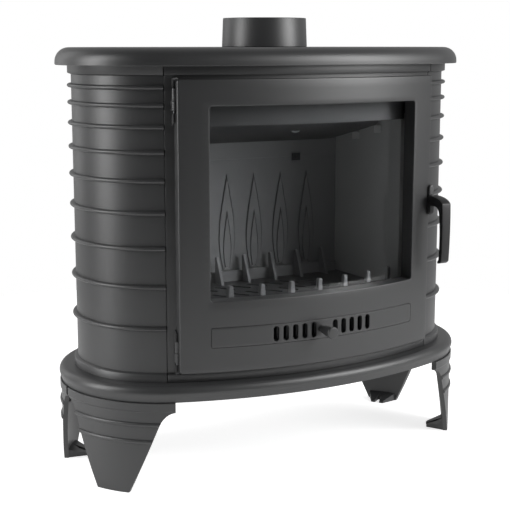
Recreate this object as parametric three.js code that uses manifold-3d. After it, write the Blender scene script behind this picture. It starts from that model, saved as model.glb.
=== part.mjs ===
// Wood stove in cast iron with an oval body and one bowed glass door.
// Millimetres. +X is the stove's right seen from the front, +Y its back, +Z up.
// The origin is on the floor, under the middle of the stove's bounding box.

import * as THREE from 'three';
import { mergeVertices } from 'three/addons/utils/BufferGeometryUtils.js';
import Module from 'manifold-3d';

const wasm = await Module();
wasm.setup();

// ---------------------------------------------------------------- driving sizes

const fit = 0.3; // gap between pieces that rest against each other
const legHeight = 155.1; // floor to the base plate's lower edge
const baseHeight = 27.1; // base plate, edge to top face
const bodyHeight = 511.8; // base plate's top face to the top plate's rim
const endSpacing = 392; // between the centres of the two round ends
const frontCentre = 547; // centre of the shallow front arc, behind the ends' centres
const bodyRadius = 156; // round ends of the body
const wall = 6; // side and back walls

const baseRoll = 190; // base plate's rolled edge, measured as an end radius
const baseFoot = 185; // its lower edge
const baseWall = 10; // slab and rim of the base plate
const topRadius = 182.4; // top plate's rim
const topRim = 28.7; // depth of the top plate's rim
const topRound = 24; // rounding of its upper edge
const topWall = 8; // rim and slab of the top plate

const bandProud = 6; // top and bottom bands stand out this far
const bandHeight = 14;
const ribCount = 9;
const ribProud = 7;
const ribHeight = 7.5;
const firstRib = 33.7; // top plate's rim to the first rib
const firstPitch = 28.2; // first rib to second; each next gap grows
const seamAngle = 65; // front frame meets the side walls here, in degrees from the side

const flueRadius = 75; // standard 150 mm collar
const flueTop = 72.9;
const flueHeight = 50;
const flueWall = 6;

const doorRadius = 680; // outer face of the bowed door
const doorProud = 13.3; // that face in front of the frame's face
const doorSkin = 8;
const doorFlange = 12.5; // depth of the door's turned edge
const doorTopGap = 20.1; // top plate's rim to the door
const doorBottomGap = 15.1; // base plate to the door
const doorSideGap = 1.1; // door's edge to the end of the front arc
const stile = 47.9; // door's edge to the window, left and right
const topRail = 42.5;
const bottomRail = 119;
const windowCorner = 5;
const rimDepth = 29; // window rim, from the door's outer face
const rimWall = 7;
const rimGap = 6; // rim to the frame's doorway
const glassThickness = 5;

const frameWall = 8;
const jamb = 16; // doorway's seal land, from the doorway to the rope's outer edge
const ropeWidth = 9;

const slotCount = 5; // air slots on each side of the knob
const slotPitch = 17.4;
const slotWidth = 9.8;
const slotHeight = 26;
const slotMiddle = 21; // first slot's centre from the door's centre
const airHeight = 59; // air slots' middle above the door's lower edge
const airPlateHeight = 34;
const airPlateThickness = 5;
const airPlateInset = 0.6; // groove round the air plate
const sliderThickness = 2.4;
const knobLength = 38;
const knobRadius = 10.4;
const knobOffset = -6.7; // knob from the centre with the slots open

const handleHeight = 269; // top plate's face to the handle's axle
const handleOut = 2; // axle outside the door's edge
const handleWidth = 19;
const handleReach = 44; // grip in front of the boss
const gripLength = 110; // below the axle
const axleRadius = 5;

const hingeOut = 0; // hinge axis outside the door's edge
const hingeBack = 10; // hinge axis behind the door's outer face
const knuckleRadius = 4.5;
const pinRadius = 2.5;
const knuckleHeight = 20;
const hingeInset = 14; // door's corner to the nearest knuckle
const hingeNotch = 69; // length of the gap in the turned edge at each hinge

const hearthHeight = 106.5; // base plate's top face to the firebox floor
const hearthThickness = 12;
const firebackFace = 92; // fireback in front of this much
const firebackThickness = 12;
const firebackSplit = 205.3; // top plate's face to the joint between its plates
const linerFace = 212; // half the firebox width
const linerThickness = 10;
const lancetCount = 6;
const lancetPitch = 57.7;
const lancetFoot = 20; // firebox floor to the leaves' feet
const lancetClear = 40.7; // their tips to the joint between the plates
const lancetWidth = 38;
const finCount = 7;
const finPitch = 57;
const postCount = 8;
const postPitch = 55.4;
const guardRadius = 620;

const legAngle = 35; // leg's middle, in degrees from the side towards the front or back
const legHalf = 125.5; // half width of the leg's block, drawn flat
const footHalf = 31;
const footToe = 12; // half width of the foot plate's inner end
const legWall = 8;
const blockHeight = 15;

// ---------------------------------------------------------------- derived sizes

const baseTop = legHeight + baseHeight;
const rimBottom = baseTop + bodyHeight;
const topFace = rimBottom + topRim;
const bodyTop = topFace - topWall - fit;
const bodyFloor = baseTop + fit;
const endX = endSpacing / 2;
const frontDistance = Math.hypot(endX, frontCentre);
const tangentX = endX * (1 + bodyRadius / frontDistance);
const tangentY = -frontCentre * (bodyRadius / frontDistance);
const frameRadius = doorRadius - doorProud;
const arcCentre = tangentY + Math.sqrt(frameRadius ** 2 - tangentX ** 2);

const doorHalf = tangentX - doorSideGap;
const doorTop = rimBottom - doorTopGap;
const doorBottom = baseTop + doorBottomGap;
const windowHalf = doorHalf - stile;
const windowTop = doorTop - topRail;
const windowBottom = doorBottom + bottomRail;
const rimHalf = windowHalf + rimWall;
const doorwayHalf = rimHalf + rimGap;
const doorwayTop = windowTop + rimWall + rimGap;
const doorwayBottom = windowBottom - rimWall - rimGap;
const airZ = doorBottom + airHeight;
const handleZ = topFace - handleHeight;
const handleX = doorHalf + handleOut;
const hearthTop = baseTop + hearthHeight;
const arcSteps = 12; // flats across every bowed face

// Distance of a bowed face from the arc's centre line, as a y position.
const bowY = (radius, x = 0) => arcCentre - Math.sqrt(radius ** 2 - x ** 2);
const frontMost = bowY(doorRadius, knobOffset) - knobLength;
const centreShift = -(frontMost + baseRoll) / 2;
const rad = THREE.MathUtils.degToRad;

// ---------------------------------------------------------------- materials

const finish = (color, roughness, metalness, extra = {}) =>
  () => new THREE.MeshStandardMaterial({ color, roughness, metalness, ...extra });
const castIron = finish(0x3a3b3c, 0.62, 0.35);
const blackIron = finish(0x1b1c1d, 0.55, 0.3);
const firedIron = finish(0x333334, 0.8, 0.25);
const brightSteel = finish(0x8d9092, 0.35, 0.9);
const darkSteel = finish(0x4a4c4e, 0.45, 0.8);
const sealRope = finish(0x2b2a29, 0.95, 0);
const clearGlass = finish(0xaab0b2, 0.05, 0, { transparent: true, opacity: 0.3 });

// ---------------------------------------------------------------- solid tools

function solidOf(geometry) {
  geometry.deleteAttribute('normal');
  geometry.deleteAttribute('uv');
  const merged = mergeVertices(geometry, 1e-4);
  return new wasm.Manifold(new wasm.Mesh({
    numProp: 3,
    vertProperties: merged.attributes.position.array,
    triVerts: new Uint32Array(merged.index.array),
  }));
}

function geometryOf(solid) {
  const mesh = solid.getMesh();
  const geometry = new THREE.BufferGeometry();
  geometry.setAttribute('position', new THREE.BufferAttribute(mesh.vertProperties, 3));
  geometry.setIndex(new THREE.BufferAttribute(mesh.triVerts, 1));
  geometry.computeVertexNormals();
  return geometry;
}

const join = (solids) => solids.reduce((all, one) => all.add(one));
const cut = (solid, tools) => tools.reduce((rest, tool) => rest.subtract(tool), solid);

function box(x0, x1, y0, y1, z0, z1) {
  const geometry = new THREE.BoxGeometry(x1 - x0, y1 - y0, z1 - z0);
  return solidOf(geometry.translate((x0 + x1) / 2, (y0 + y1) / 2, (z0 + z1) / 2));
}

function extrude(shape, depth, steps = 4) {
  return new THREE.ExtrudeGeometry(shape, { depth, bevelEnabled: false, curveSegments: steps });
}

// A plan outline raised from z0 to z1.
function prismZ(shape, z0, z1, steps) {
  return solidOf(extrude(shape, z1 - z0, steps).translate(0, 0, z0));
}

// A front view, x and z, carried through from y0 to y1.
function prismY(shape, y0, y1, steps) {
  return solidOf(extrude(shape, y1 - y0, steps).rotateX(Math.PI / 2).translate(0, y1, 0));
}

// A front view, drawn at a distance from the z axis, carried in towards that axis.
function towardsAxis(shape, far, near, drawnAt) {
  const geometry = extrude(shape, far - near).rotateX(Math.PI / 2).translate(0, -near, 0);
  const place = geometry.attributes.position;
  for (let i = 0; i < place.count; i += 1) {
    place.setX(i, place.getX(i) * (-place.getY(i) / drawnAt));
  }
  return solidOf(geometry);
}

// A side view, y and z, carried through from x0 to x1.
function prismX(shape, x0, x1, steps) {
  const turn = new THREE.Matrix4().makeBasis(
    new THREE.Vector3(0, 1, 0),
    new THREE.Vector3(0, 0, 1),
    new THREE.Vector3(1, 0, 0),
  );
  return solidOf(extrude(shape, x1 - x0, steps).applyMatrix4(turn).translate(x0, 0, 0));
}

function cylinder(radius, z0, z1, x = 0, y = 0, sides = 12) {
  const geometry = new THREE.CylinderGeometry(radius, radius, z1 - z0, sides);
  return solidOf(geometry.rotateX(Math.PI / 2).translate(x, y, (z0 + z1) / 2));
}

// A round bar along y.
function axle(radius, y0, y1, x, z, sides = 12) {
  const geometry = new THREE.CylinderGeometry(radius, radius, y1 - y0, sides);
  return solidOf(geometry.translate(x, (y0 + y1) / 2, z));
}

function polygon(points) {
  return new THREE.Shape(points.map(([x, y]) => new THREE.Vector2(x, y)));
}

function roundedBox(Kind, x0, x1, y0, y1, r) {
  const shape = new Kind();
  shape.moveTo(x0 + r, y0);
  shape.lineTo(x1 - r, y0);
  shape.absarc(x1 - r, y0 + r, r, -Math.PI / 2, 0);
  shape.lineTo(x1, y1 - r);
  shape.absarc(x1 - r, y1 - r, r, 0, Math.PI / 2);
  shape.lineTo(x0 + r, y1);
  shape.absarc(x0 + r, y1 - r, r, Math.PI / 2, Math.PI);
  shape.lineTo(x0, y0 + r);
  shape.absarc(x0 + r, y0 + r, r, Math.PI, Math.PI * 1.5);
  return shape;
}
const roundRect = (...sizes) => roundedBox(THREE.Shape, ...sizes);
const sharpRect = (x0, x1, y0, y1) => polygon([[x0, y0], [x1, y0], [x1, y1], [x0, y1]]);

// A rounded rectangle with a rounded window in it.
function rectRing(outer, inner) {
  const shape = roundRect(...outer);
  shape.holes.push(roundedBox(THREE.Path, ...inner));
  return shape;
}

// Stations of the bowed faces. All of them share these, so their flats run parallel.
const bowXs = () => Array.from(
  { length: arcSteps + 1 }, (_, i) => (tangentX + 20) * (2 * i / arcSteps - 1));

// The space between two bowed faces, over the whole height of the stove.
function bowedBand(frontRadius, backRadius) {
  const xs = bowXs();
  const front = xs.map((x) => [x, bowY(frontRadius, x)]);
  const back = xs.reverse().map((x) => [x, bowY(backRadius, x)]);
  return prismZ(polygon([...front, ...back]), 0, topFace);
}

// A plate bowed like the door: its front view between two of the bowed faces.
function bowedPlate(shape, frontRadius, backRadius, steps) {
  const through = prismY(shape, bowY(frontRadius) - 5, bowY(backRadius, tangentX) + 5, steps);
  return through.intersect(bowedBand(frontRadius, backRadius));
}

// ---------------------------------------------------------------- the oval plan

const endSteps = 10; // flats round each end
const frontSteps = 6;
const endTurn = Math.PI - Math.atan2(endX, frontCentre);
const flatInset = Math.cos(endTurn / endSteps / 2); // a flat's middle, as a share of its radius

// Plan outline with round ends of the given radius, a shallow front and a straight back.
function ovalOutline(radius) {
  const frontAngle = Math.atan2(endX, frontCentre);
  const frontRadius = frontDistance + radius;
  const points = [];
  for (let i = 0; i <= endSteps; i += 1) {
    const a = Math.PI / 2 + endTurn * (i / endSteps);
    points.push([-endX + radius * Math.cos(a), radius * Math.sin(a)]);
  }
  for (let i = 1; i < frontSteps; i += 1) {
    const a = frontAngle * (2 * i / frontSteps - 1);
    points.push([frontRadius * Math.sin(a), frontCentre - frontRadius * Math.cos(a)]);
  }
  for (let i = endSteps; i >= 0; i -= 1) {
    const a = Math.PI / 2 - endTurn * (i / endSteps);
    points.push([endX + radius * Math.cos(a), radius * Math.sin(a)]);
  }
  return points;
}

// Stacks oval outlines, given as [end radius, height] from the bottom up.
function ovalStack(levels) {
  const rings = levels.map(([radius, z]) => ovalOutline(radius).map(([x, y]) => [x, y, z]));
  const count = rings[0].length;
  const index = [];
  for (let k = 0; k < rings.length - 1; k += 1) {
    for (let i = 0; i < count; i += 1) {
      const a = k * count + i;
      const b = k * count + (i + 1) % count;
      index.push(a, b, b + count, a, b + count, a + count);
    }
  }
  const flat = ovalOutline(levels[0][0]).map(([x, y]) => new THREE.Vector2(x, y));
  const last = (rings.length - 1) * count;
  for (const [a, b, c] of THREE.ShapeUtils.triangulateShape(flat, [])) {
    index.push(a, c, b);
    index.push(last + a, last + b, last + c);
  }
  const geometry = new THREE.BufferGeometry();
  geometry.setAttribute('position', new THREE.Float32BufferAttribute(rings.flat(2), 3));
  geometry.setIndex(index);
  return solidOf(geometry);
}

// Sweeps a closed [radius, height] profile round a vertical axis, from one angle to another.
function arcSweep(profile, x, y, from, to, steps) {
  const points = [];
  for (let i = 0; i <= steps; i += 1) {
    const a = rad(from + (to - from) * (i / steps));
    for (const [r, z] of profile) {
      points.push(x + r * Math.cos(a), y + r * Math.sin(a), z);
    }
  }
  const count = profile.length;
  const index = [];
  for (let k = 0; k < steps; k += 1) {
    for (let i = 0; i < count; i += 1) {
      const a = k * count + i;
      const b = k * count + (i + 1) % count;
      index.push(a, a + count, b + count, a, b + count, b);
    }
  }
  const flat = profile.map(([r, z]) => new THREE.Vector2(r, z));
  const last = steps * count;
  for (const [a, b, c] of THREE.ShapeUtils.triangulateShape(flat, [])) {
    index.push(a, b, c);
    index.push(last + a, last + c, last + b);
  }
  const geometry = new THREE.BufferGeometry();
  geometry.setAttribute('position', new THREE.Float32BufferAttribute(points, 3));
  geometry.setIndex(index);
  return solidOf(geometry);
}

// ---------------------------------------------------------------- base and legs

function basePlate() {
  const roll = 12;
  const levels = [[baseFoot, legHeight], [baseFoot, legHeight + 4]];
  for (let a = -30; a <= 90; a += 30) {
    const out = baseRoll - roll + roll * Math.cos(rad(a));
    levels.push([out, baseTop - roll + roll * Math.sin(rad(a))]);
  }
  const under = ovalStack([
    [baseFoot - baseWall, legHeight - 1],
    [baseFoot - baseWall, baseTop - baseWall],
  ]);
  const bolts = legPlaces.map(([, turn]) => {
    const [x, y] = boltPlace(turn);
    return cylinder(boltRadius + 0.5, legHeight, baseTop + 1, x, y, 8);
  });
  return cut(ovalStack(levels), [under, ...bolts]);
}

const boltRadius = 4;
const boltIn = 155; // bolt circle about the end's centre
const flangeThickness = 8;
const legPlaces = [
  ['front_left', legAngle - 90],
  ['front_right', 90 - legAngle],
  ['rear_left', -legAngle - 90],
  ['rear_right', 90 + legAngle],
];
const legCentre = (turn) => Math.sign(turn) * endX;
const boltPlace = (turn) => [
  legCentre(turn) + boltIn * Math.sin(rad(turn)),
  -boltIn * Math.cos(rad(turn)),
];

// Front view of a leg: a block, a hollow curve under it and a straight taper to the foot.
function legOutline() {
  const curve = 40;
  const curveZ = legHeight - blockHeight - curve - 2;
  const lean = Math.atan2(legHalf - footHalf, curveZ) - Math.asin(
    curve / Math.hypot(legHalf - footHalf, curveZ),
  );
  const right = [[footHalf, 0]];
  for (let a = 180 - lean * 180 / Math.PI; a >= 90; a -= 18) {
    right.push([legHalf + curve * Math.cos(rad(a)), curveZ + curve * Math.sin(rad(a))]);
  }
  right.push([legHalf, curveZ + curve], [legHalf, legHeight - fit]);
  const left = right.map(([x, z]) => [-x, z]).reverse();
  return polygon([...right, ...left]);
}

// One leg, standing with its outer face towards -Y about the end's centre.
function leg() {
  const outer = baseFoot + 1;
  const inner = outer - legWall;
  const top = legHeight - fit;
  const face = [
    [inner, 0],
    [outer, 0],
    ...bead(outer, legHeight - 66, 7, 3),
    ...bead(outer, legHeight - 37, 7, 3),
    [outer, top - blockHeight],
    [outer + 2, top - blockHeight + 2],
    [outer + 2, top],
    [inner, top],
  ];
  const reach = legAngle - 0.4;
  const shell = arcSweep(face, 0, 0, -90 - reach, -90 + reach, 5)
    .intersect(towardsAxis(legOutline(), outer + 10, 20, outer));
  const wedge = polygon([
    [-inner - 2, 0],
    [-inner + 33, 0],
    [-inner + 33, 3],
    [-inner + 30, 5],
    [-inner, 15],
    [-inner - 2, 15],
  ]);
  const slot = roundRect(-4.5, 4.5, -inner + 12, -inner + 60, 4.5); // open at the toe
  const footPlan = polygon([
    [-footHalf + 1, -outer],
    [footHalf - 1, -outer],
    [footToe, -inner + 34],
    [-footToe, -inner + 34],
  ]);
  const foot = prismX(wedge, -footHalf, footHalf).intersect(prismZ(footPlan, -1, 20));
  const gussetHalf = 4;
  const gusset = prismX(polygon([
    [-inner - 1, legHeight - 63],
    [-150, top - 9],
    [-150, top - 4],
    [-inner - 1, top - 4],
  ]), -gussetHalf, gussetHalf);
  const lipOuter = (baseFoot - baseWall) * flatInset - fit;
  const seat = baseTop - baseWall - fit;
  const lipHalf = 45;
  const lip = box(-lipHalf, lipHalf, -inner - 1, -150, top - 9, top - 2);
  const upstand = box(-lipHalf, lipHalf, -lipOuter, -lipOuter + 8, top - 9, seat);
  const keep = cylinder(lipOuter, 0, seat + 1, 0, 0, 30)
    .add(cylinder(inner + 1, 0, top - 1, 0, 0, 30));
  const shelf = box(-lipHalf, lipHalf, -lipOuter, -boltIn + 14, seat - flangeThickness, seat);
  const hole = cylinder(boltRadius + 0.5, seat - flangeThickness - 1, baseTop, 0, -boltIn, 8);
  const bracket = join([lip, upstand, shelf]).intersect(keep)
    .subtract(box(-lipHalf - 1, lipHalf + 1, -lipOuter + 8, 0, top - 10, seat - flangeThickness));
  return cut(join([shell, foot, gusset, bracket]), [prismZ(slot, -1, 20), hole]);
}

function legBolt() {
  const seat = baseTop - baseWall - fit;
  const under = seat - flangeThickness - fit;
  const head = cylinder(7, under - 5, under, 0, -boltIn, 6);
  const shank = cylinder(boltRadius, under - 1, baseTop - 1, 0, -boltIn, 8);
  return head.add(shank);
}

// ---------------------------------------------------------------- body

// Heights of the ribs. Each gap is wider than the one above, down to the bottom band.
function ribHeights() {
  const span = bodyHeight - bandHeight - firstRib;
  const growth = (span - ribCount * firstPitch) / (ribCount * (ribCount - 1) / 2);
  return Array.from({ length: ribCount }, (_, n) =>
    rimBottom - firstRib - n * firstPitch - growth * n * (n - 1) / 2);
}

// Profile points of a rounded rib that stands out from a wall.
const bead = (radius, z, height, proud) => [
  [radius, z - height / 2],
  [radius + proud, z - height * 0.22],
  [radius + proud, z + height * 0.22],
  [radius, z + height / 2],
];

function sideWall(side) {
  const inner = bodyRadius - wall;
  const band = bodyRadius + bandProud;
  const profile = [
    [inner, bodyFloor],
    [band, bodyFloor],
    [band, baseTop + bandHeight - 2],
    [bodyRadius, baseTop + bandHeight + 1],
  ];
  for (const z of ribHeights().reverse()) {
    profile.push(...bead(bodyRadius, z, ribHeight, ribProud));
  }
  profile.push([bodyRadius, rimBottom - bandHeight - 1]);
  profile.push([band, rimBottom - bandHeight + 2]);
  profile.push([band, bodyTop]);
  profile.push([inner, bodyTop]);
  const gap = 0.2;
  const from = side > 0 ? -seamAngle + gap : 90 + 0.1;
  const to = side > 0 ? 90 - 0.1 : 180 + seamAngle - gap;
  return arcSweep(profile, side * endX, 0, from, to, 9);
}

function backPlate() {
  const half = endX - 0.8;
  const inner = bodyRadius - wall;
  const plate = box(-half, half, inner, bodyRadius, bodyFloor, bodyTop);
  const band = box(-half, half, inner + 1, bodyRadius + bandProud, bodyFloor, baseTop + bandHeight);
  const border = 30;
  const ring = prismY(rectRing(
    [-half + 12, half - 12, baseTop + 40, rimBottom - 20, 8],
    [-half + 12 + border, half - 12 - border, baseTop + 40 + border, rimBottom - 20 - border, 6],
  ), bodyRadius - 1, bodyRadius + 3);
  const ledge = box(-150, 150, inner - 12, inner + 1, hearthLedge - 10, hearthLedge);
  return join([plate, band, ring, ledge]);
}

const hearthLedge = hearthTop - hearthThickness - fit;

// Plan of the front frame: round corners at both seams and the bowed front between them.
// Both sizes are measured inwards from the body's outer face.
function framePlan(outer, inner) {
  const corner = [];
  const cornerSteps = 3;
  const tangent = Math.atan2(-tangentY, tangentX - endX) * 180 / Math.PI;
  for (let i = 0; i <= cornerSteps; i += 1) {
    corner.push(rad(-(seamAngle + 0.2) - (tangent - seamAngle - 0.2) * (i / cornerSteps)));
  }
  const bend = (radius, side) => corner.map((a) =>
    [side * (endX + radius * Math.cos(a)), radius * Math.sin(a)]);
  const row = (bowRadius, radius) => {
    const start = bend(radius, -1);
    const end = bend(radius, 1).reverse();
    const half = endX + radius * Math.cos(corner[cornerSteps]);
    const bow = bowXs().filter((x) => Math.abs(x) < half - 1).map((x) => [x, bowY(bowRadius, x)]);
    return [...start, ...bow, ...end];
  };
  return polygon([...row(frameRadius - outer, bodyRadius - outer),
    ...row(frameRadius - inner, bodyRadius - inner).reverse()]);
}

function frontFrame() {
  const plate = prismZ(framePlan(0, frameWall), bodyFloor, bodyTop);
  const deep = [bowY(frameRadius) - 20, bowY(frameRadius - frameWall, tangentX) + 20];
  const doorway = prismY(
    roundRect(-doorwayHalf, doorwayHalf, doorwayBottom, doorwayTop, 8), ...deep, 2);
  const ashHalf = doorwayHalf - 30;
  const ashMouth = prismY(
    roundRect(-ashHalf, ashHalf, baseTop + 12, hearthLedge - 14, 6), ...deep, 2);
  const latchSlot = prismY(roundRect(
    handleX - tongueReach - 1, handleX + tongueHub + 2, handleZ - 24, handleZ + 24, 4), ...deep, 2);
  const bandPlan = framePlan(-bandProud, frameWall);
  const bands = [
    prismZ(bandPlan, bodyFloor, baseTop + bandHeight),
    prismZ(bandPlan, rimBottom - bandHeight, bodyTop),
  ];
  const ledge = bowedPlate(
    sharpRect(-linerFace + 20, linerFace - 20, hearthLedge - 10, hearthLedge),
    frameRadius - frameWall + 1, frameRadius - frameWall - 10);
  const knuckles = hingePlaces.map((place) => frameKnuckle(place));
  const bores = hingePlaces.map(({ z }) =>
    cylinder(pinRadius + 0.2, z - knuckleHeight, z + knuckleHeight, hingeX, hingeY, 10));
  const reliefs = hingePlaces.map(({ z }) => cylinder(
    knuckleRadius + 1, z, z + knuckleHeight + 1, hingeX, hingeY, 12));
  return cut(join([plate, ...bands, ledge]), [doorway, ashMouth, latchSlot, ...reliefs])
    .add(join(knuckles)).subtract(join(bores));
}

// ---------------------------------------------------------------- hinges

const hingeX = -doorHalf - hingeOut;
const hingeY = bowY(doorRadius, doorHalf) + hingeBack;
const hingePlaces = [
  { name: 'upper', z: doorTop - hingeInset - knuckleHeight },
  { name: 'lower', z: doorBottom + hingeInset + knuckleHeight },
];
const hingeGap = 0.4;

// The frame's knuckle ends at the place's height; the door's stands on it.
function frameKnuckle({ z }) {
  const top = z - hingeGap / 2;
  const bottom = top - knuckleHeight + 5;
  const barrel = cylinder(knuckleRadius, bottom, top, hingeX, hingeY, 12);
  const back = bowY(frameRadius, hingeX) + 3;
  const web = box(hingeX - knuckleRadius, hingeX, hingeY, back, bottom, top);
  return barrel.add(web);
}

function doorKnuckle({ z }) {
  const bottom = z + hingeGap / 2;
  const top = bottom + knuckleHeight;
  const barrel = cylinder(knuckleRadius, bottom, top, hingeX, hingeY, 12);
  const skin = bowY(doorRadius, doorHalf) + 3;
  const web = box(-doorHalf, hingeX + knuckleRadius, skin, hingeY, bottom, top);
  return barrel.add(web);
}

function hingePin({ z }) {
  const bottom = z - knuckleHeight + 2;
  const top = z + knuckleHeight - 2;
  const shank = cylinder(pinRadius, bottom, top, hingeX, hingeY, 12);
  const head = cylinder(pinRadius + 1, bottom - 1.5, z - knuckleHeight + 5 - hingeGap, hingeX, hingeY, 12);
  return shank.add(head);
}

// ---------------------------------------------------------------- top

function topPlate() {
  const levels = [[topRadius, rimBottom]];
  for (let a = 0; a <= 90; a += 18) {
    levels.push([
      topRadius - topRound + topRound * Math.cos(rad(a)),
      topFace - topRound + topRound * Math.sin(rad(a)),
    ]);
  }
  const under = ovalStack([
    [topRadius - topWall, rimBottom - 1],
    [topRadius - topWall, topFace - topRound],
    [topRadius - topWall - 6, topFace - topWall],
  ]);
  const hole = cylinder(flueRadius - flueWall + fit, topFace - 40, topFace + 1, 0, 0, 24);
  return cut(ovalStack(levels), [under, hole]);
}

function flueCollar() {
  const bore = flueRadius - flueWall - fit - 4;
  const profile = [
    [bore, topFace - topWall],
    [flueRadius - flueWall - fit, topFace - topWall],
    [flueRadius - flueWall - fit, topFace + fit],
    [flueRadius, topFace + fit],
    [flueTop, topFace + flueHeight],
    [flueTop - flueWall, topFace + flueHeight],
    [bore, topFace + flueHeight - 6],
    [bore, topFace - topWall],
  ].map(([r, z]) => new THREE.Vector2(r, z));
  return solidOf(new THREE.LatheGeometry(profile, 24).rotateX(Math.PI / 2));
}

// ---------------------------------------------------------------- door

function doorFrame() {
  const face = rectRing(
    [-doorHalf, doorHalf, doorBottom, doorTop, 4],
    [-windowHalf, windowHalf, windowBottom, windowTop, windowCorner],
  );
  const plate = bowedPlate(face, doorRadius, doorRadius - doorSkin, 2);
  const edge = bowedPlate(rectRing(
    [-doorHalf, doorHalf, doorBottom, doorTop, 4],
    [-doorHalf + 5, doorHalf - 5, doorBottom + 5, doorTop - 5, 2],
  ), doorRadius - doorSkin + 1, doorRadius - doorFlange, 1);
  const rim = bowedPlate(rectRing(
    [-rimHalf, rimHalf, windowBottom - rimWall, windowTop + rimWall, windowCorner + 3],
    [-windowHalf, windowHalf, windowBottom, windowTop, windowCorner],
  ), doorRadius - 1, doorRadius - rimDepth, 2);
  const notches = [doorBottom + hingeNotch / 2, doorTop - hingeNotch / 2].map((z) => bowedPlate(
    sharpRect(-doorHalf - 1, -doorHalf + 6, z - hingeNotch / 2 - 1, z + hingeNotch / 2 + 1),
    doorRadius - doorSkin, doorRadius - doorFlange - 1));
  const recess = bowedPlate(
    roundRect(-windowHalf, windowHalf, airZ - airPlateHeight / 2, airZ + airPlateHeight / 2, 4),
    doorRadius + 1, doorRadius - airPlateThickness - fit, 2);
  const sliderRoom = sliderHalf + sliderTravel + 3;
  const wellHalf = sliderHeight / 2 + 0.6;
  const well = bowedPlate(
    sharpRect(-sliderRoom, sliderRoom, airZ - wellHalf, airZ + wellHalf),
    doorRadius - 2, doorRadius - doorSkin - 1);
  const knuckleRoom = hingePlaces.map(({ z }) => cylinder(
    knuckleRadius + 1, z - knuckleHeight, z - hingeGap / 2, hingeX, hingeY, 12));
  const body = cut(join([plate, edge, rim, handleBoss()]), [...notches, recess, well]);
  const knuckles = join(hingePlaces.map((place) => doorKnuckle(place)));
  const bores = hingePlaces.map(({ z }) =>
    cylinder(pinRadius + 0.3, z - 1, z + knuckleHeight - 1, hingeX, hingeY, 10));
  const bore = axle(axleRadius + 0.4, bossFront - 5, bossFront + 60, handleX, handleZ);
  return cut(body.add(knuckles), [...knuckleRoom, ...bores, bore]);
}

const sealBack = frameRadius + fit;
const sealFront = doorRadius - doorSkin - fit;

function doorSeal() {
  const half = doorwayHalf + jamb;
  const top = doorwayTop + jamb;
  const bottom = doorwayBottom - jamb;
  return bowedPlate(rectRing(
    [-half, half, bottom, top, 14],
    [-half + ropeWidth, half - ropeWidth, bottom + ropeWidth, top - ropeWidth, 6],
  ), sealFront, sealBack, 2);
}

const glassFront = doorRadius - rimDepth - fit;
const glassBack = glassFront - glassThickness;

function glassPane() {
  const edge = rimWall - 1;
  return bowedPlate(roundRect(
    -windowHalf - edge, windowHalf + edge, windowBottom - edge, windowTop + edge, 3,
  ), glassFront, glassBack, 2);
}

// A clip hooks over the glass and runs forward along the rim to the door's back.
function glassClip(x, up) {
  const rimEdge = up > 0 ? windowTop + rimWall : windowBottom - rimWall;
  const sheet = 2;
  const strip = (z0, z1) => sharpRect(x - 12, x + 12, Math.min(z0, z1), Math.max(z0, z1));
  const outside = rimEdge + up * (fit + sheet);
  const hook = bowedPlate(strip(rimEdge - up * 7, outside), glassBack - fit, glassBack - fit - sheet, 1);
  const arm = bowedPlate(strip(rimEdge + up * fit, outside), sealFront, glassBack - fit - sheet, 1);
  return hook.add(arm);
}

// ---------------------------------------------------------------- air inlet

const slotXs = [-1, 1].flatMap((side) => Array.from(
  { length: slotCount }, (_, i) => side * (slotMiddle + slotPitch * i)));
const sliderTravel = slotPitch / 2; // shuts the slots
const sliderHalf = slotMiddle + slotPitch * (slotCount - 1) + slotWidth / 2 + 4;
const sliderHeight = slotHeight + 5;
const sliderFront = doorRadius - airPlateThickness - fit;
const sliderBack = sliderFront - sliderThickness;
const stemRadius = 3.5;

const uprightSlot = (x, width, height) => roundRect(
  x - width / 2, x + width / 2, airZ - height / 2, airZ + height / 2, width / 2 - 0.1);

function airPlate() {
  const half = windowHalf - airPlateInset;
  const high = airPlateHeight / 2 - airPlateInset;
  const shape = roundRect(-half, half, airZ - high, airZ + high, 3.5);
  const stemSlot = roundRect(
    knobOffset - stemRadius - 1, knobOffset + sliderTravel + stemRadius + 1,
    airZ - stemRadius - 0.6, airZ + stemRadius + 0.6, stemRadius);
  const slots = slotXs.map((x) => uprightSlot(x, slotWidth, slotHeight));
  const plate = bowedPlate(shape, doorRadius, doorRadius - airPlateThickness, 2);
  const tools = [...slots, stemSlot].map((slot) =>
    prismY(slot, bowY(doorRadius) - 10, bowY(doorRadius, windowHalf) + 10, 2));
  return cut(plate, tools);
}

function airSlider() {
  const shape = sharpRect(
    -sliderHalf, sliderHalf, airZ - sliderHeight / 2, airZ + sliderHeight / 2);
  const plate = bowedPlate(shape, sliderFront, sliderBack);
  const half = (slotPitch - slotWidth - 0.6) / 2;
  const high = slotHeight / 2 - 2;
  const tools = slotXs.map((x) => box(
    x - half, x + half, bowY(doorRadius) - 10, bowY(doorRadius, windowHalf) + 10,
    airZ - high, airZ + high));
  const stem = axle(
    stemRadius, bowY(doorRadius, knobOffset) - 6, bowY(sliderBack, knobOffset), knobOffset, airZ, 12);
  return cut(plate, tools).add(stem);
}

function sliderRail(up) {
  const inner = airZ + up * (sliderHeight / 2 - 3);
  const outer = airZ + up * (sliderHeight / 2 + 7);
  const half = sliderHalf + sliderTravel;
  return bowedPlate(
    sharpRect(-half, half, Math.min(inner, outer), Math.max(inner, outer)),
    doorRadius - doorSkin - fit, doorRadius - doorSkin - fit - 2);
}

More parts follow.
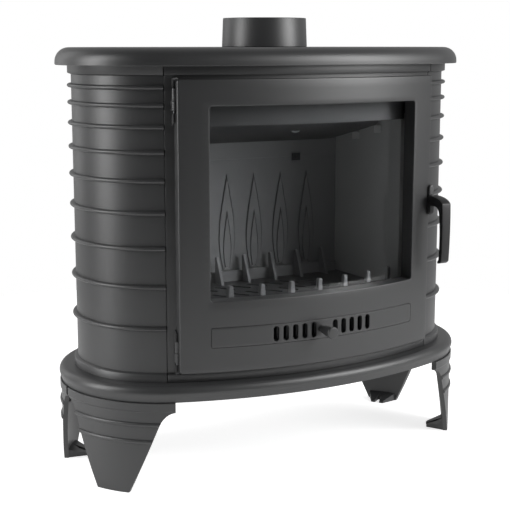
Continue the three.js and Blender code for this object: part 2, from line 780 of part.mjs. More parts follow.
// A cone that widens away from the door, with a rounded rim and a blind bore for the stem.
function airKnob() {
  const neck = 6;
  const round = 2.5;
  const boreDepth = 6;
  const rim = Array.from({ length: 4 }, (_, i) => {
    const a = rad(i * 30);
    return [knobRadius - round + round * Math.cos(a), knobLength - round + round * Math.sin(a)];
  });
  const profile = [
    [0, 1 + boreDepth],
    [stemRadius + fit, 1 + boreDepth],
    [stemRadius + fit, 1],
    [neck, 1],
    [neck * 1.02, 5],
    ...rim,
    [0, knobLength],
  ].map(([r, h]) => new THREE.Vector2(r, h));
  const lathe = new THREE.LatheGeometry(profile, 12).rotateX(Math.PI);
  return solidOf(lathe.translate(knobOffset, bowY(doorRadius, knobOffset), airZ));
}

// ---------------------------------------------------------------- handle and latch

const bossHalf = 7;
const bossX = doorHalf - 0.5;
const bossFront = bowY(doorRadius, doorHalf) - 6.5;
const escutcheonFront = bossFront - fit - 3;
const leverBack = escutcheonFront - fit;

function handleBoss() {
  const shape = roundRect(bossX - bossHalf, bossX + bossHalf, handleZ - 27, handleZ + 27, bossHalf - 0.5);
  return prismY(shape, bossFront, bowY(doorRadius - doorFlange, bossX - bossHalf), 4);
}

function handlePlate() {
  const tail = prismY(roundRect(
    bossX - 4.5, bossX + 4.5, handleZ - 24, handleZ, 4.4), leverBack + fit, bossFront - fit, 3);
  const disc = axle(10, leverBack + fit, bossFront - fit, handleX, handleZ, 14);
  const bore = axle(axleRadius + 0.4, leverBack - 5, bossFront + 5, handleX, handleZ);
  return tail.add(disc).subtract(bore);
}

// Side view of the lever: an arm out from the door, a sloped shoulder and the hanging grip.
function leverProfile() {
  const shape = new THREE.Shape();
  const front = leverBack - handleReach + 6;
  shape.moveTo(leverBack, handleZ + 9);
  shape.lineTo(leverBack - 14, handleZ + 7.5);
  shape.quadraticCurveTo(front + 6, handleZ + 5, front, handleZ - 3);
  shape.quadraticCurveTo(front - 3, handleZ - 50, front, handleZ - gripLength + 6);
  shape.quadraticCurveTo(front + 4, handleZ - gripLength, front + 12, handleZ - gripLength);
  shape.quadraticCurveTo(front + 13, handleZ - gripLength + 4, front + 9, handleZ - gripLength + 7);
  shape.quadraticCurveTo(front + 5, handleZ - 55, front + 9, handleZ - 26);
  shape.quadraticCurveTo(front + 10, handleZ - 10, front + 22, handleZ - 9);
  shape.lineTo(leverBack, handleZ - 9);
  return shape;
}

function handleLever() {
  const half = handleWidth / 2;
  const low = handleZ - gripLength - 1;
  const front = polygon([
    [handleX - half + 1, low],
    [handleX + half - 1.5, low],
    [handleX + half, handleZ],
    [handleX + half, handleZ + 14],
    [handleX - half, handleZ + 14],
    [handleX - half, handleZ],
  ]);
  return prismX(leverProfile(), handleX - half - 1, handleX + half + 1, 6)
    .intersect(prismY(front, leverBack - handleReach - 20, leverBack + 1));
}

const tongueThickness = 5;
const tongueFront = bowY(frameRadius - frameWall, handleX - 15) + 3;
const tongueReach = 18.5;
const tongueHub = 6.5;

function handleSpindle() {
  const bar = axle(axleRadius, leverBack + fit / 2, tongueFront - fit, handleX, handleZ);
  return bar.add(axle(3, tongueFront - fit - 1, tongueFront + tongueThickness + 7, handleX, handleZ, 12));
}

function latchTongue() {
  const shape = new THREE.Shape();
  shape.absarc(handleX, handleZ, tongueHub, -Math.PI / 2, Math.PI / 2);
  shape.lineTo(handleX - tongueReach + 3, handleZ + 5);
  shape.quadraticCurveTo(handleX - tongueReach, handleZ + 5, handleX - tongueReach, handleZ + 2);
  shape.lineTo(handleX - tongueReach, handleZ - 4);
  const plate = prismY(shape, tongueFront, tongueFront + tongueThickness, 5);
  return plate.subtract(axle(3.3, tongueFront - 5, tongueFront + 20, handleX, handleZ, 12));
}

function spindleNut() {
  const back = tongueFront + tongueThickness + fit;
  const nut = axle(6, back, back + 5, handleX, handleZ, 6);
  return nut.subtract(axle(3.3, back - 5, back + 20, handleX, handleZ, 12));
}

const rollerRadius = 4;
const rollerX = handleX - tongueReach - 0.6 - rollerRadius;
const rollerY = tongueFront + tongueThickness / 2;
const rollerHalf = 11;

// A bracket behind the frame that holds the roller between two ears.
function latchKeeper() {
  const reach = rollerHalf + fit + 3;
  const back = rollerY + rollerRadius + 1;
  const block = box(
    rollerX - 10, rollerX + rollerRadius, bowY(frameRadius, handleX) - 20, back,
    handleZ - reach, handleZ + reach);
  const middle = box(
    rollerX - rollerRadius - 1.5, rollerX + 20, bowY(frameRadius) - 20, back + 20,
    handleZ - rollerHalf - fit, handleZ + rollerHalf + fit);
  const bracket = block.subtract(middle).intersect(bowedBand(
    frameRadius - frameWall - fit, frameRadius - frameWall - 30));
  const bore = cylinder(2.3, handleZ - reach - 1, handleZ + reach + 1, rollerX, rollerY, 10);
  return bracket.subtract(bore);
}

function keeperRoller() {
  const reach = rollerHalf + fit + 3;
  const drum = cylinder(rollerRadius, handleZ - rollerHalf, handleZ + rollerHalf, rollerX, rollerY);
  return drum.add(cylinder(2, handleZ - reach, handleZ + reach, rollerX, rollerY, 10));
}

// ---------------------------------------------------------------- firebox

const linerFront = bowY(frameRadius - frameWall, linerFace) + 34;
const linerRear = firebackFace + firebackThickness + fit;
const baffleRear = firebackFace - 1;
const baffleFront = -70;
const baffleLow = topFace - 175;
const baffleRise = 0.23;
const baffleThickness = 10;
const baffleZ = (y) => baffleLow + (baffleRear - y) * baffleRise;
const linerTop = baffleZ(linerFront) + 10;
const grateHalfX = 140;
const grateHalfY = 62;

function hearthPlate() {
  const half = linerFace + linerThickness;
  const room = bodyRadius - wall - 1.5;
  const hole = (grow) => roundRect(
    -grateHalfX - grow, grateHalfX + grow, -grateHalfY - grow, grateHalfY + grow, 6);
  const low = hearthTop - hearthThickness;
  const plate = ovalStack([[room, low], [room, hearthTop]])
    .intersect(box(-half, half, -200, 200, low, hearthTop));
  return cut(plate, [
    prismZ(hole(0.5), hearthTop - 8 - fit, hearthTop + 1),
    prismZ(hole(-8), low - 1, hearthTop),
  ]);
}

// The grate: a flat casting with rows of slanted slots.
function grate() {
  const plate = prismZ(roundRect(
    -grateHalfX, grateHalfX, -grateHalfY, grateHalfY, 6), hearthTop - 8, hearthTop);
  const pitch = 34;
  const columns = Math.floor((grateHalfX - 18) / pitch);
  const slots = [];
  for (let i = -columns; i <= columns; i += 1) {
    for (const row of [-1, 1]) {
      const geometry = extrude(roundRect(-21, 21, -5, 5, 4.8), 20, 1);
      geometry.rotateZ(rad(-55)).translate(i * pitch, row * 28, hearthTop - 14);
      slots.push(solidOf(geometry));
    }
  }
  return cut(plate, slots);
}

function liner(side) {
  const inner = linerFace;
  const outer = linerFace + linerThickness;
  const plan = [Math.min(side * inner, side * outer), Math.max(side * inner, side * outer)];
  const view = polygon([
    [linerFront, hearthTop + fit],
    [linerRear, hearthTop + fit],
    [linerRear, linerTop - 20],
    [linerRear - 20, linerTop],
    [linerFront, linerTop],
  ]);
  const lugs = [20, -50].map((y) => {
    const top = baffleZ(y) - fit;
    const lug = polygon([
      [y - 8, top + 8 * baffleRise],
      [y - 8, top - 12],
      [y + 8, top - 12],
      [y + 8, top - 8 * baffleRise],
    ]);
    const xs = [side * (inner - 16), side * (inner + 1)].sort((a, b) => a - b);
    return prismX(lug, ...xs);
  });
  return join([prismX(view, ...plan), ...lugs]);
}

// A pointed leaf with its foot at the origin: two mirrored curves that meet at the tip.
function lancet(width, height) {
  const shape = new THREE.Shape();
  const half = width / 2;
  shape.moveTo(-half * 0.45, 0);
  shape.lineTo(half * 0.45, 0);
  shape.bezierCurveTo(half * 1.15, height * 0.3, half * 1.1, height * 0.45, 0, height);
  shape.bezierCurveTo(-half * 1.1, height * 0.45, -half * 1.15, height * 0.3, -half * 0.45, 0);
  return shape;
}

function firebackLower() {
  const half = linerFace - fit;
  const top = topFace - firebackSplit;
  const foot = hearthTop + lancetFoot;
  const leafHeight = top - lancetClear - foot;
  const plate = box(
    -half, half, firebackFace, firebackFace + firebackThickness, hearthTop + fit, top - fit);
  const relief = (x, width, height, proud) => solidOf(
    extrude(lancet(width, height), proud + 1, 4).rotateX(Math.PI / 2)
      .translate(x, firebackFace + 1, foot));
  const leaves = Array.from({ length: lancetCount }, (_, i) => {
    const x = (i - (lancetCount - 1) / 2) * lancetPitch;
    return relief(x, lancetWidth, leafHeight, 3)
      .add(relief(x, lancetWidth * 0.5, leafHeight * 0.78, 5.5));
  });
  return join([plate, ...leaves]);
}

function firebackUpper() {
  const half = linerFace - fit;
  const bottom = topFace - firebackSplit;
  return box(-half, half, firebackFace, firebackFace + firebackThickness, bottom, linerTop - 22);
}

function firebackClip(x) {
  const z = topFace - firebackSplit;
  const front = firebackFace - fit - 4;
  const plate = box(x - 8, x + 8, front, firebackFace - fit, z - 8, z + 6);
  const head = axle(4, front - 3, front + 1, x, z - 1, 8);
  return plate.add(head);
}

function bafflePlate() {
  const half = linerFace - 12;
  const view = polygon([
    [baffleRear, baffleZ(baffleRear)],
    [baffleRear, baffleZ(baffleRear) + baffleThickness],
    [baffleFront, baffleZ(baffleFront) + baffleThickness],
    [baffleFront, baffleZ(baffleFront)],
  ]);
  const hookX = 46;
  const hookY = -30;
  const loop = new THREE.Shape();
  loop.absarc(hookX, baffleZ(hookY) + 1, 10, Math.PI, 2 * Math.PI);
  loop.absarc(hookX, baffleZ(hookY) + 1, 6, 2 * Math.PI, Math.PI, true);
  const hook = prismY(loop, hookY - 2, hookY + 2, 10);
  return prismX(view, -half, half).add(hook);
}

// Sheet that turns the air down over the glass, hung behind the frame's top rail.
function airDeflector() {
  const half = doorwayHalf - 4;
  const low = windowTop - 32;
  const high = doorwayTop + 14;
  const sheet = 3;
  const back = glassBack - 8;
  const apron = bowedPlate(sharpRect(-half, half, low, high), back, back - sheet);
  const flange = bowedPlate(
    sharpRect(-half, half, high - sheet, high), frameRadius - frameWall - fit, back - sheet);
  return apron.add(flange);
}

// Curved bar that keeps logs off the glass, with a row of tapered posts.
function frontGuard() {
  const foot = hearthTop + fit;
  const depth = 9;
  const half = (postCount / 2) * postPitch - 14;
  const bar = bowedPlate(sharpRect(-half, half, foot, foot + 9), guardRadius, guardRadius - depth);
  const posts = Array.from({ length: postCount }, (_, i) => {
    const x = (i - (postCount - 1) / 2) * postPitch;
    const top = windowBottom + 12.4;
    const view = polygon([[x - 6.5, foot], [x + 6.5, foot], [x + 3.5, top], [x - 3.5, top]]);
    return bowedPlate(view, guardRadius, guardRadius - depth);
  });
  return join([bar, ...posts]);
}

// Rail in front of the fireback with a row of tapered fins.
function rearGuard() {
  const foot = hearthTop + fit;
  const rear = firebackFace - 7;
  const front = firebackFace - 12;
  const half = linerFace - 6;
  const rail = box(-half, half, front, rear, foot, foot + 20);
  const fins = Array.from({ length: finCount }, (_, i) => {
    const x = (i - (finCount - 1) / 2) * finPitch;
    const view = polygon([
      [front + 1, foot],
      [front + 1, foot + 49],
      [front - 5, foot + 49],
      [front - 26, foot],
    ]);
    return prismX(view, x - 2.5, x + 2.5);
  });
  const stops = [-1, 1].map((side) => box(
    side * half - 8, side * half + 8, rear - 1, firebackFace - fit, foot, foot + 8));
  return join([rail, ...fins]).add(
    join(stops).intersect(box(-half, half, front, firebackFace, foot, foot + 9)));
}

function ashPan() {
  const half = doorwayHalf - 36;
  const front = bowY(frameRadius - frameWall, half) + 6;
  const rear = bodyRadius - wall - 20;
  const floor = baseTop + fit;
  const top = hearthLedge - 24;
  const sheet = 2;
  const body = box(-half, half, front, rear, floor, top)
    .subtract(box(-half + sheet, half - sheet, front + sheet, rear - sheet, floor + sheet, top + 1));
  const grip = box(-40, 40, front - 12, front + 1, top - 30, top - 27)
    .add(box(-40, 40, front - 12, front - 9, top - 38, top - 27));
  return body.add(grip);
}

const rodPlaces = [
  ['front_left', -1, 49, -105],
  ['front_right', 1, 49, -105],
  ['rear_left', -1, 40, 112],
  ['rear_right', 1, 40, 112],
];

function tieRod(side, outX, y) {
  return cylinder(4, bodyFloor, topFace - topWall - fit, side * (endX + outX), y, 8);
}

// ---------------------------------------------------------------- assembly

const stove = new THREE.Group();
stove.position.y = centreShift;

function place(name, solid, material, turn = 0, x = 0) {
  const mesh = new THREE.Mesh(geometryOf(solid), material());
  mesh.name = name;
  mesh.rotation.z = rad(turn);
  mesh.position.x = x;
  stove.add(mesh);
}

place('base_plate', basePlate(), castIron);
for (const [name, turn] of legPlaces) {
  place(`leg_${name}`, leg(), castIron, turn, legCentre(turn));
  place(`leg_bolt_${name}`, legBolt(), darkSteel, turn, legCentre(turn));
}
place('side_wall_left', sideWall(-1), castIron);
place('side_wall_right', sideWall(1), castIron);
place('back_plate', backPlate(), castIron);
place('front_frame', frontFrame(), castIron);
place('top_plate', topPlate(), castIron);
place('flue_collar', flueCollar(), castIron);
for (const [name, side, outX, y] of rodPlaces) {
  place(`tie_rod_${name}`, tieRod(side, outX, y), darkSteel);
}

place('hearth_plate', hearthPlate(), firedIron);
place('grate', grate(), firedIron);
place('liner_left', liner(-1), firedIron);
place('liner_right', liner(1), firedIron);
place('fireback_lower', firebackLower(), firedIron);
place('fireback_upper', firebackUpper(), firedIron);
place('fireback_clip_left', firebackClip(-120), darkSteel);
place('fireback_clip_right', firebackClip(120), darkSteel);
place('baffle_plate', bafflePlate(), firedIron);
place('air_deflector', airDeflector(), firedIron);
place('front_guard', frontGuard(), firedIron);
place('rear_guard', rearGuard(), firedIron);
place('ash_pan', ashPan(), darkSteel);

for (const spot of hingePlaces) {
  place(`hinge_pin_${spot.name}`, hingePin(spot), brightSteel);
}
place('latch_keeper', latchKeeper(), darkSteel);
place('keeper_roller', keeperRoller(), brightSteel);

place('door_frame', doorFrame(), castIron);
place('door_seal', doorSeal(), sealRope);
place('glass_pane', glassPane(), clearGlass);
for (const [name, x, up] of [
  ['upper_left', -110, 1],
  ['upper_right', 110, 1],
  ['lower_left', -110, -1],
  ['lower_right', 110, -1],
]) {
  place(`glass_clip_${name}`, glassClip(x, up), darkSteel);
}
place('air_plate', airPlate(), castIron);
place('slider_rail_upper', sliderRail(1), darkSteel);
place('slider_rail_lower', sliderRail(-1), darkSteel);
place('air_slider', airSlider(), darkSteel);
place('air_knob', airKnob(), castIron);

place('handle_plate', handlePlate(), blackIron);
place('handle_lever', handleLever(), blackIron);
place('handle_spindle', handleSpindle(), brightSteel);
place('latch_tongue', latchTongue(), darkSteel);
place('spindle_nut', spindleNut(), brightSteel);

const group = new THREE.Group();
group.add(stove);
export default group;
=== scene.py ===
"""Look of an oval cast-iron wood stove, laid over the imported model.

Sizes are in millimetres in the maker's frame: the flue's axis at x 0 and y 0, the
floor at z 0, +Y to the back. point() turns them into the row frame, in metres.
"""
from math import asin, atan2, cos, hypot, pi, radians, sin, sqrt

import bmesh
import bpy
import numpy
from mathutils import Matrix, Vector
from mathutils.geometry import delaunay_2d_cdt


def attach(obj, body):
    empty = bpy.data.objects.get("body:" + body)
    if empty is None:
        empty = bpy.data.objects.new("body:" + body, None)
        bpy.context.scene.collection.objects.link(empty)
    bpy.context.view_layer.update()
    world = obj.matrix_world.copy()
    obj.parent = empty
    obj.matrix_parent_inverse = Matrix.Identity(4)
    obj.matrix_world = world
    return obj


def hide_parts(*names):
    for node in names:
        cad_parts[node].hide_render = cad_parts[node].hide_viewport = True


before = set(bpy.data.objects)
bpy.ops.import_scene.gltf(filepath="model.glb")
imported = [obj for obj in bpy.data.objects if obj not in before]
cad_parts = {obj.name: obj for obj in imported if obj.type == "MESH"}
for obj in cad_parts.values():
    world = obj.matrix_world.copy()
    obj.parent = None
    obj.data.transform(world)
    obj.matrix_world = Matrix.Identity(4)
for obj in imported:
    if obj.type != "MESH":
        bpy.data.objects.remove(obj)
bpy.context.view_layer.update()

# ------------------------------------------------------------------ sizes

SHIFT = 28.1078  # row frame's y of the flue's axis
JOINT = 0.3  # gap between two seated castings
LEG_HEIGHT = 155.1
BASE_TOP = 182.2
BASE_UNDER = BASE_TOP - 10
BASE_INNER = 172.6  # inside of the base plate's rim
RIM_BOTTOM = 694.0
TOP_FACE = 722.7
TOP_UNDER = TOP_FACE - 8
BODY_FLOOR = BASE_TOP + JOINT
BODY_TOP = TOP_FACE - 8.3
END_X = 196.0
FRONT_CENTRE = 547.0
BODY_RADIUS = 156.0
WALL = 6.0
BAND = 6.0  # bands at the body's foot and head stand this proud
BASE_FLAT = 176.8  # base plate's flat top, inside its rolled edge
TOP_FLAT = 158.4
SEAMS = {-1: 65.0, 1: 70.0}  # front frame meets the side walls, left and right
LEG_TURNS = {"front_left": -55, "front_right": 55, "rear_left": -125, "rear_right": 125}
BOLT_REACH = 155.0  # leg bolts, from the axis of the stove's round end

FRONT_DISTANCE = hypot(END_X, FRONT_CENTRE)
TANGENT_X = END_X * (1 + BODY_RADIUS / FRONT_DISTANCE)
TANGENT_Y = -FRONT_CENTRE * (BODY_RADIUS / FRONT_DISTANCE)
DOOR_RADIUS = 680.0
FRAME_RADIUS = 666.7
ARC_CENTRE = TANGENT_Y + sqrt(FRAME_RADIUS ** 2 - TANGENT_X ** 2)
CORNER = atan2(-TANGENT_Y, TANGENT_X - END_X)

DOOR_HALF = TANGENT_X - 1.1
DOOR_TOP = 673.9
DOOR_BOTTOM = 197.3
WINDOW_HALF = DOOR_HALF - 47.9
WINDOW_TOP = 631.4
WINDOW_BOTTOM = 316.3
DOORWAY_HALF = WINDOW_HALF + 13
DOORWAY_TOP = WINDOW_TOP + 13
DOORWAY_BOTTOM = WINDOW_BOTTOM - 13
AIR_Z = 256.3
HANDLE_X = DOOR_HALF + 2
HANDLE_Z = 453.7
HEARTH_TOP = 288.7
HEARTH_LEDGE = 276.4
KNOB_X = -6.7
SLOT_PITCH = 17.4
WELL_HALF = 109.2  # opening behind the air plate, wide enough for the slider's travel
FRAME_SHEET = 8.0


def bow_y(radius, x=0.0):
    return ARC_CENTRE - sqrt(radius ** 2 - x ** 2)


HINGE_X = -DOOR_HALF
HINGE_Y = bow_y(DOOR_RADIUS, DOOR_HALF) + 10
HINGE_ZS = (639.9, 231.3)
KNUCKLE = 4.5
DOOR_KNUCKLE = (0.2, 20.2)  # foot and head, from the height where two knuckles meet
FRAME_KNUCKLE = (-15.2, -0.2)
DOOR_CORNER = bow_y(DOOR_RADIUS, DOOR_HALF)  # y of the door's outer edge
BOSS_FRONT = DOOR_CORNER - 6.5
BOSS_X = DOOR_HALF - 0.5
LEVER_BACK = BOSS_FRONT - 3.6
GLASS_FRONT = DOOR_RADIUS - 29.3
GLASS_BACK = GLASS_FRONT - 5
FIREBACK = 104.0  # y of the lower fireback's back
SHARP = 32.0  # edges sharper than this many degrees stay crisp


def point(x, y, z):
    return (x / 1000, (y + SHIFT) / 1000, z / 1000)


# ------------------------------------------------------------------ mesh making

def circle(radius, count, x=0.0, y=0.0):
    turns = (2 * pi * i / count for i in range(count))
    return [(x + radius * cos(t), y + radius * sin(t)) for t in turns]


def rounded(x0, x1, z0, z1, r, grow=0.0, pitch=9.0, steps=5):
    """Loop of a rounded rectangle. Growing it keeps the number of its points."""
    bend = r + grow
    corners = []
    for x, z, start in ((x1 - r, z0 + r, -90), (x1 - r, z1 - r, 0),
                        (x0 + r, z1 - r, 90), (x0 + r, z0 + r, 180)):
        turns = [radians(start + 90 * i / steps) for i in range(steps + 1)]
        corners.append([(x + bend * cos(t), z + bend * sin(t)) for t in turns])
    loop = []
    for k, corner in enumerate(corners):
        (xa, za), (xb, zb) = corner[-1], corners[(k + 1) % 4][0]
        length = (z1 - z0 if k % 2 == 0 else x1 - x0) - 2 * r
        count = max(1, round(length / pitch + 0.49))
        loop += corner[:-1]
        loop += [(xa + (xb - xa) * i / count, za + (zb - za) * i / count)
                 for i in range(count)]
    return loop


def level(z):
    return lambda x, y: (x, y, z)


def standing(y):
    return lambda x, z: (x, y, z)


def on_hinge(across, side, height):
    return HINGE_X + across, HINGE_Y + side, height


def inside(points, loop):
    hit = numpy.zeros(len(points), bool)
    for (x0, y0), (x1, y1) in zip(loop, loop[1:] + loop[:1]):
        if y0 == y1:
            continue
        across = (points[:, 1] > y0) != (points[:, 1] > y1)
        reach = x0 + (points[:, 1] - y0) * (x1 - x0) / (y1 - y0)
        hit ^= across & (points[:, 0] < reach)
    return hit


def clearance(points, loop):
    best = numpy.full(len(points), 1e9)
    for a, b in zip(loop, loop[1:] + loop[:1]):
        a, b = numpy.array(a), numpy.array(b)
        along = b - a
        share = numpy.clip(((points - a) @ along) / max(along @ along, 1e-9), 0, 1)
        gap = numpy.hypot(*(points - a - share[:, None] * along).T)
        best = numpy.minimum(best, gap)
    return best


def smooth(data, sharp=SHARP):
    data.shade_smooth()
    data.set_sharp_from_angle(angle=radians(sharp))


class Casting:
    """Gathers the faces of one piece, from flat drawings that are bent into place."""

    def __init__(self):
        self.mesh = bmesh.new()

    def quads(self, rings, closed=True, cap=False):
        """Walls between rings of points in space, each with the same count."""
        rows = [[self.mesh.verts.new(point(*p)) for p in ring] for ring in rings]
        for low, high in zip(rows, rows[1:]):
            count = len(low) if closed else len(low) - 1
            for i in range(count):
                j = (i + 1) % len(low)
                self.mesh.faces.new((low[i], low[j], high[j], high[i]))
        if cap:
            self.mesh.faces.new(rows[0])
            self.mesh.faces.new(rows[-1])

    def upright(self, loop, low, high, cap=False):
        """Upright walls on a loop drawn on the floor."""
        self.quads([[(x, y, z) for x, y in loop] for z in (low, high)], cap=cap)

    def face(self, bend, outer, holes=(), pitch=None):
        """A face with holes, drawn flat. bend gives each point its place."""
        loops = [outer, *holes]
        spots = [p for loop in loops for p in loop]
        edges = []
        start = 0
        for loop in loops:
            count = len(loop)
            edges += [(start + i, start + (i + 1) % count) for i in range(count)]
            start += count
        if pitch:
            xs = [p[0] for p in outer]
            zs = [p[1] for p in outer]
            across = numpy.arange(min(xs) + pitch[0] / 2, max(xs), pitch[0])
            up = numpy.arange(min(zs) + pitch[1] / 2, max(zs), pitch[1])
            grid = numpy.array([(x, z) for x in across for z in up])
            if len(grid):
                keep = inside(grid, outer)
                for hole in holes:
                    keep &= ~inside(grid, hole)
                for loop in loops:
                    keep &= clearance(grid, loop) > pitch[0] * 0.4
                spots += [tuple(p) for p in grid[keep]]
        found = delaunay_2d_cdt([Vector(p) for p in spots], edges, [], 0, 1e-6)
        verts, faces = found[0], found[2]
        middles = numpy.array([
            [sum(verts[i].x for i in f) / 3, sum(verts[i].y for i in f) / 3] for f in faces])
        keep = inside(middles, outer)
        for hole in holes:
            keep &= ~inside(middles, hole)
        made = {}
        for f, kept in zip(faces, keep):
            if not kept:
                continue
            for i in f:
                if i not in made:
                    made[i] = self.mesh.verts.new(point(*bend(verts[i].x, verts[i].y)))
            self.mesh.faces.new([made[i] for i in f])

    def lathe(self, profile, place, turns=48):
        """Turns a [radius, height] profile. place(across, side, height) gives the point."""
        self.quads([[place(a, b, height) for a, b in circle(radius, turns)]
                    for radius, height in profile], cap=True)

    def build(self, name, material, sharp=SHARP):
        bmesh.ops.remove_doubles(self.mesh, verts=self.mesh.verts, dist=4e-6)
        bmesh.ops.dissolve_degenerate(self.mesh, edges=self.mesh.edges, dist=1e-7)
        bmesh.ops.recalc_face_normals(self.mesh, faces=self.mesh.faces)
        data = bpy.data.meshes.new(name)
        self.mesh.to_mesh(data)
        self.mesh.free()
        smooth(data, sharp)
        data.materials.append(material)
        piece = bpy.data.objects.new(name, data)
        bpy.context.collection.objects.link(piece)
        return piece


def fitted(piece, node, body="stove"):
    """Fits a piece to a body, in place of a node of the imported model."""
    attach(piece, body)
    if node:
        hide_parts(node)


def evaluated(piece):
    """Turns a piece's modifiers into plain mesh."""
    graph = bpy.context.evaluated_depsgraph_get()
    data = bpy.data.meshes.new_from_object(piece.evaluated_get(graph))
    piece.modifiers.clear()
    piece.data = data


def carve(piece, tools, operation="DIFFERENCE"):
    """Cuts tools out of a piece, or joins them to it."""
    for tool in tools:
        step = piece.modifiers.new("carve", "BOOLEAN")
        step.operation = operation
        step.solver = "EXACT"
        step.object = tool
    evaluated(piece)
    for tool in tools:
        bpy.data.objects.remove(tool)
    smooth(piece.data)


def soften(piece, width, steps=2, angle=35.0):
    """Rounds a piece's sharp edges, as a casting's or a pressing's are."""
    bevel = piece.modifiers.new("rounded_edges", "BEVEL")
    bevel.width = width / 1000
    bevel.segments = steps
    bevel.limit_method = "ANGLE"
    bevel.angle_limit = radians(angle)


def fillet(r, steps=4):
    """(inward, deep) pairs from a face's edge round to the wall below it."""
    turns = [pi / 2 * i / steps for i in range(steps + 1)]
    return [(-r * (1 - sin(t)), r * (1 - cos(t))) for t in turns]


# ------------------------------------------------------------------ materials

MOTTLE_SCALE, PIT_SCALE, GRIT_SCALE = 14, 620, 1500  # per metre
LINE_SCALE = (900, 900, 60)
STRAND_SCALE = 420
GRAIN_DEPTH, LINE_DEPTH, STRAND_DEPTH = 0.0004, 0.0003, 0.0008  # metres

def link(tree, value, socket):
    """Links a socket to another node's output, or gives it a plain value."""
    if isinstance(value, bpy.types.NodeSocket):
        tree.links.new(value, socket)
    else:
        socket.default_value = value


def put(node, **values):
    """Sets a node's inputs. An underscore stands for a space in an input's name."""
    for name, value in values.items():
        node.inputs[name.replace("_", " ")].default_value = value


def new_group(name, inputs, outputs):
    group = bpy.data.node_groups.new(name, "ShaderNodeTree")

    def socket(label, way):
        kind = "NodeSocketColor" if label == "Color" else "NodeSocketFloat"
        return group.interface.new_socket(label, in_out=way, socket_type=kind)
    for label, value in inputs.items():
        socket(label, "INPUT").default_value = value
    for label in outputs:
        socket(label, "OUTPUT")
    start, end = (group.nodes.new(f"NodeGroup{way}") for way in ("Input", "Output"))
    return group, start.outputs, end.inputs


def math_node(tree, operation, *values, clamp=False):
    node = tree.nodes.new("ShaderNodeMath")
    node.operation = operation
    node.use_clamp = clamp
    for i, value in enumerate(values):
        link(tree, value, node.inputs[i])
    return node.outputs[0]


def mix_colour(tree, share, first, second):
    node = tree.nodes.new("ShaderNodeMix")
    node.data_type = "RGBA"
    for i, value in ((0, share), (6, first), (7, second)):
        link(tree, value, node.inputs[i])
    return node.outputs[2]


def noise(tree, vector, scale, detail=3.0, rough=0.55):
    node = tree.nodes.new("ShaderNodeTexNoise")
    put(node, Scale=scale, Detail=detail, Roughness=rough)
    link(tree, vector, node.inputs["Vector"])
    return node.outputs["Fac"]


def swing(tree, value, amount):
    """How far a noise strays from its middle, times an amount."""
    return math_node(tree, "MULTIPLY", math_node(tree, "SUBTRACT", value, 0.5), amount)


def scaled(tree, vector, factor):
    node = tree.nodes.new("ShaderNodeVectorMath")
    node.operation = "SCALE"
    link(tree, vector, node.inputs[0])
    link(tree, factor, node.inputs["Scale"])
    return node.outputs[0]


def own_place(tree):
    return tree.nodes.new("ShaderNodeTexCoord").outputs["Object"]


def relief(tree, shader, height, strength, distance, invert=False):
    """Fine relief that only the light sees."""
    node = tree.nodes.new("ShaderNodeBump")
    node.invert = invert
    put(node, Strength=strength, Distance=distance)
    link(tree, height, node.inputs["Height"])
    link(tree, node.outputs[0], shader.inputs["Normal"])


def sand_cast_group():
    """Grain of a sand casting under matt paint: fine pits over a slow mottle."""
    group, given, made = new_group(
        "sand_cast_grain",
        {"Color": (0.05, 0.05, 0.05, 1), "Mottle": 0.12, "Roughness": 0.5, "Grain Size": 1.0},
        ("Color", "Roughness", "Height"))
    spot = scaled(group, own_place(group), given["Grain Size"])
    slow = noise(group, spot, MOTTLE_SCALE, 4)
    pits = noise(group, spot, PIT_SCALE, 2, 0.6)
    grit = noise(group, spot, GRIT_SCALE, 2, 0.7)
    stray = math_node(group, "ADD", swing(group, slow, given["Mottle"]),
                      swing(group, pits, 0.16))
    level_here = math_node(group, "ADD", stray, 1.0)
    link(group, scaled(group, given["Color"], level_here), made["Color"])
    gloss = math_node(group, "ADD", swing(group, pits, 0.12), given["Roughness"], clamp=True)
    link(group, gloss, made["Roughness"])
    height = math_node(group, "ADD", math_node(group, "MULTIPLY", pits, 0.7),
                       math_node(group, "MULTIPLY", grit, 0.3))
    link(group, height, made["Height"])
    return group


def painted_edge_highlight_group():
    """Mask of the outer edges, where the colour is lightened into a painted highlight, broken
    up by noise.
    """
    group, given, made = new_group("painted_edge_highlight", {"Amount": 0.3}, ["Mask"])
    shape = group.nodes.new("ShaderNodeNewGeometry")
    proud = math_node(group, "SUBTRACT", shape.outputs["Pointiness"], 0.52)
    high = math_node(group, "MULTIPLY", proud, 9.0, clamp=True)
    broken_highlight = math_node(group, "MULTIPLY", high, noise(group, own_place(group), 60, 5))
    mask = math_node(group, "MULTIPLY", broken_highlight, given["Amount"], clamp=True)
    link(group, mask, made["Mask"])
    return group


def brushed_group():
    """Drawn or turned steel: fine lines round or along the piece."""
    group, given, made = new_group("brushed_lines", {"Color": (0.3, 0.3, 0.3, 1),
                                                     "Roughness": 0.35},
                                   ("Color", "Roughness", "Height"))
    stretch = group.nodes.new("ShaderNodeMapping")
    put(stretch, Scale=LINE_SCALE)
    link(group, own_place(group), stretch.inputs["Vector"])
    lines = noise(group, stretch.outputs[0], 1.0)
    dark = scaled(group, given["Color"], 0.7)
    link(group, mix_colour(group, lines, dark, given["Color"]), made["Color"])
    rough = math_node(group, "ADD", swing(group, lines, 0.2), given["Roughness"])
    link(group, rough, made["Roughness"])
    link(group, lines, made["Height"])
    return group


GRAIN = sand_cast_group()
# lightens the outer edges of cast pieces: a painted highlight
EDGE_HIGHLIGHT = painted_edge_highlight_group()
LINES = brushed_group()


def new_material(name):
    material = bpy.data.materials.new(name)
    material.use_nodes = True
    tree = material.node_tree
    return material, tree, tree.nodes["Principled BSDF"]


def placed(tree, group, **values):
    node = tree.nodes.new("ShaderNodeGroup")
    node.node_tree = group
    put(node, **values)
    return node.outputs


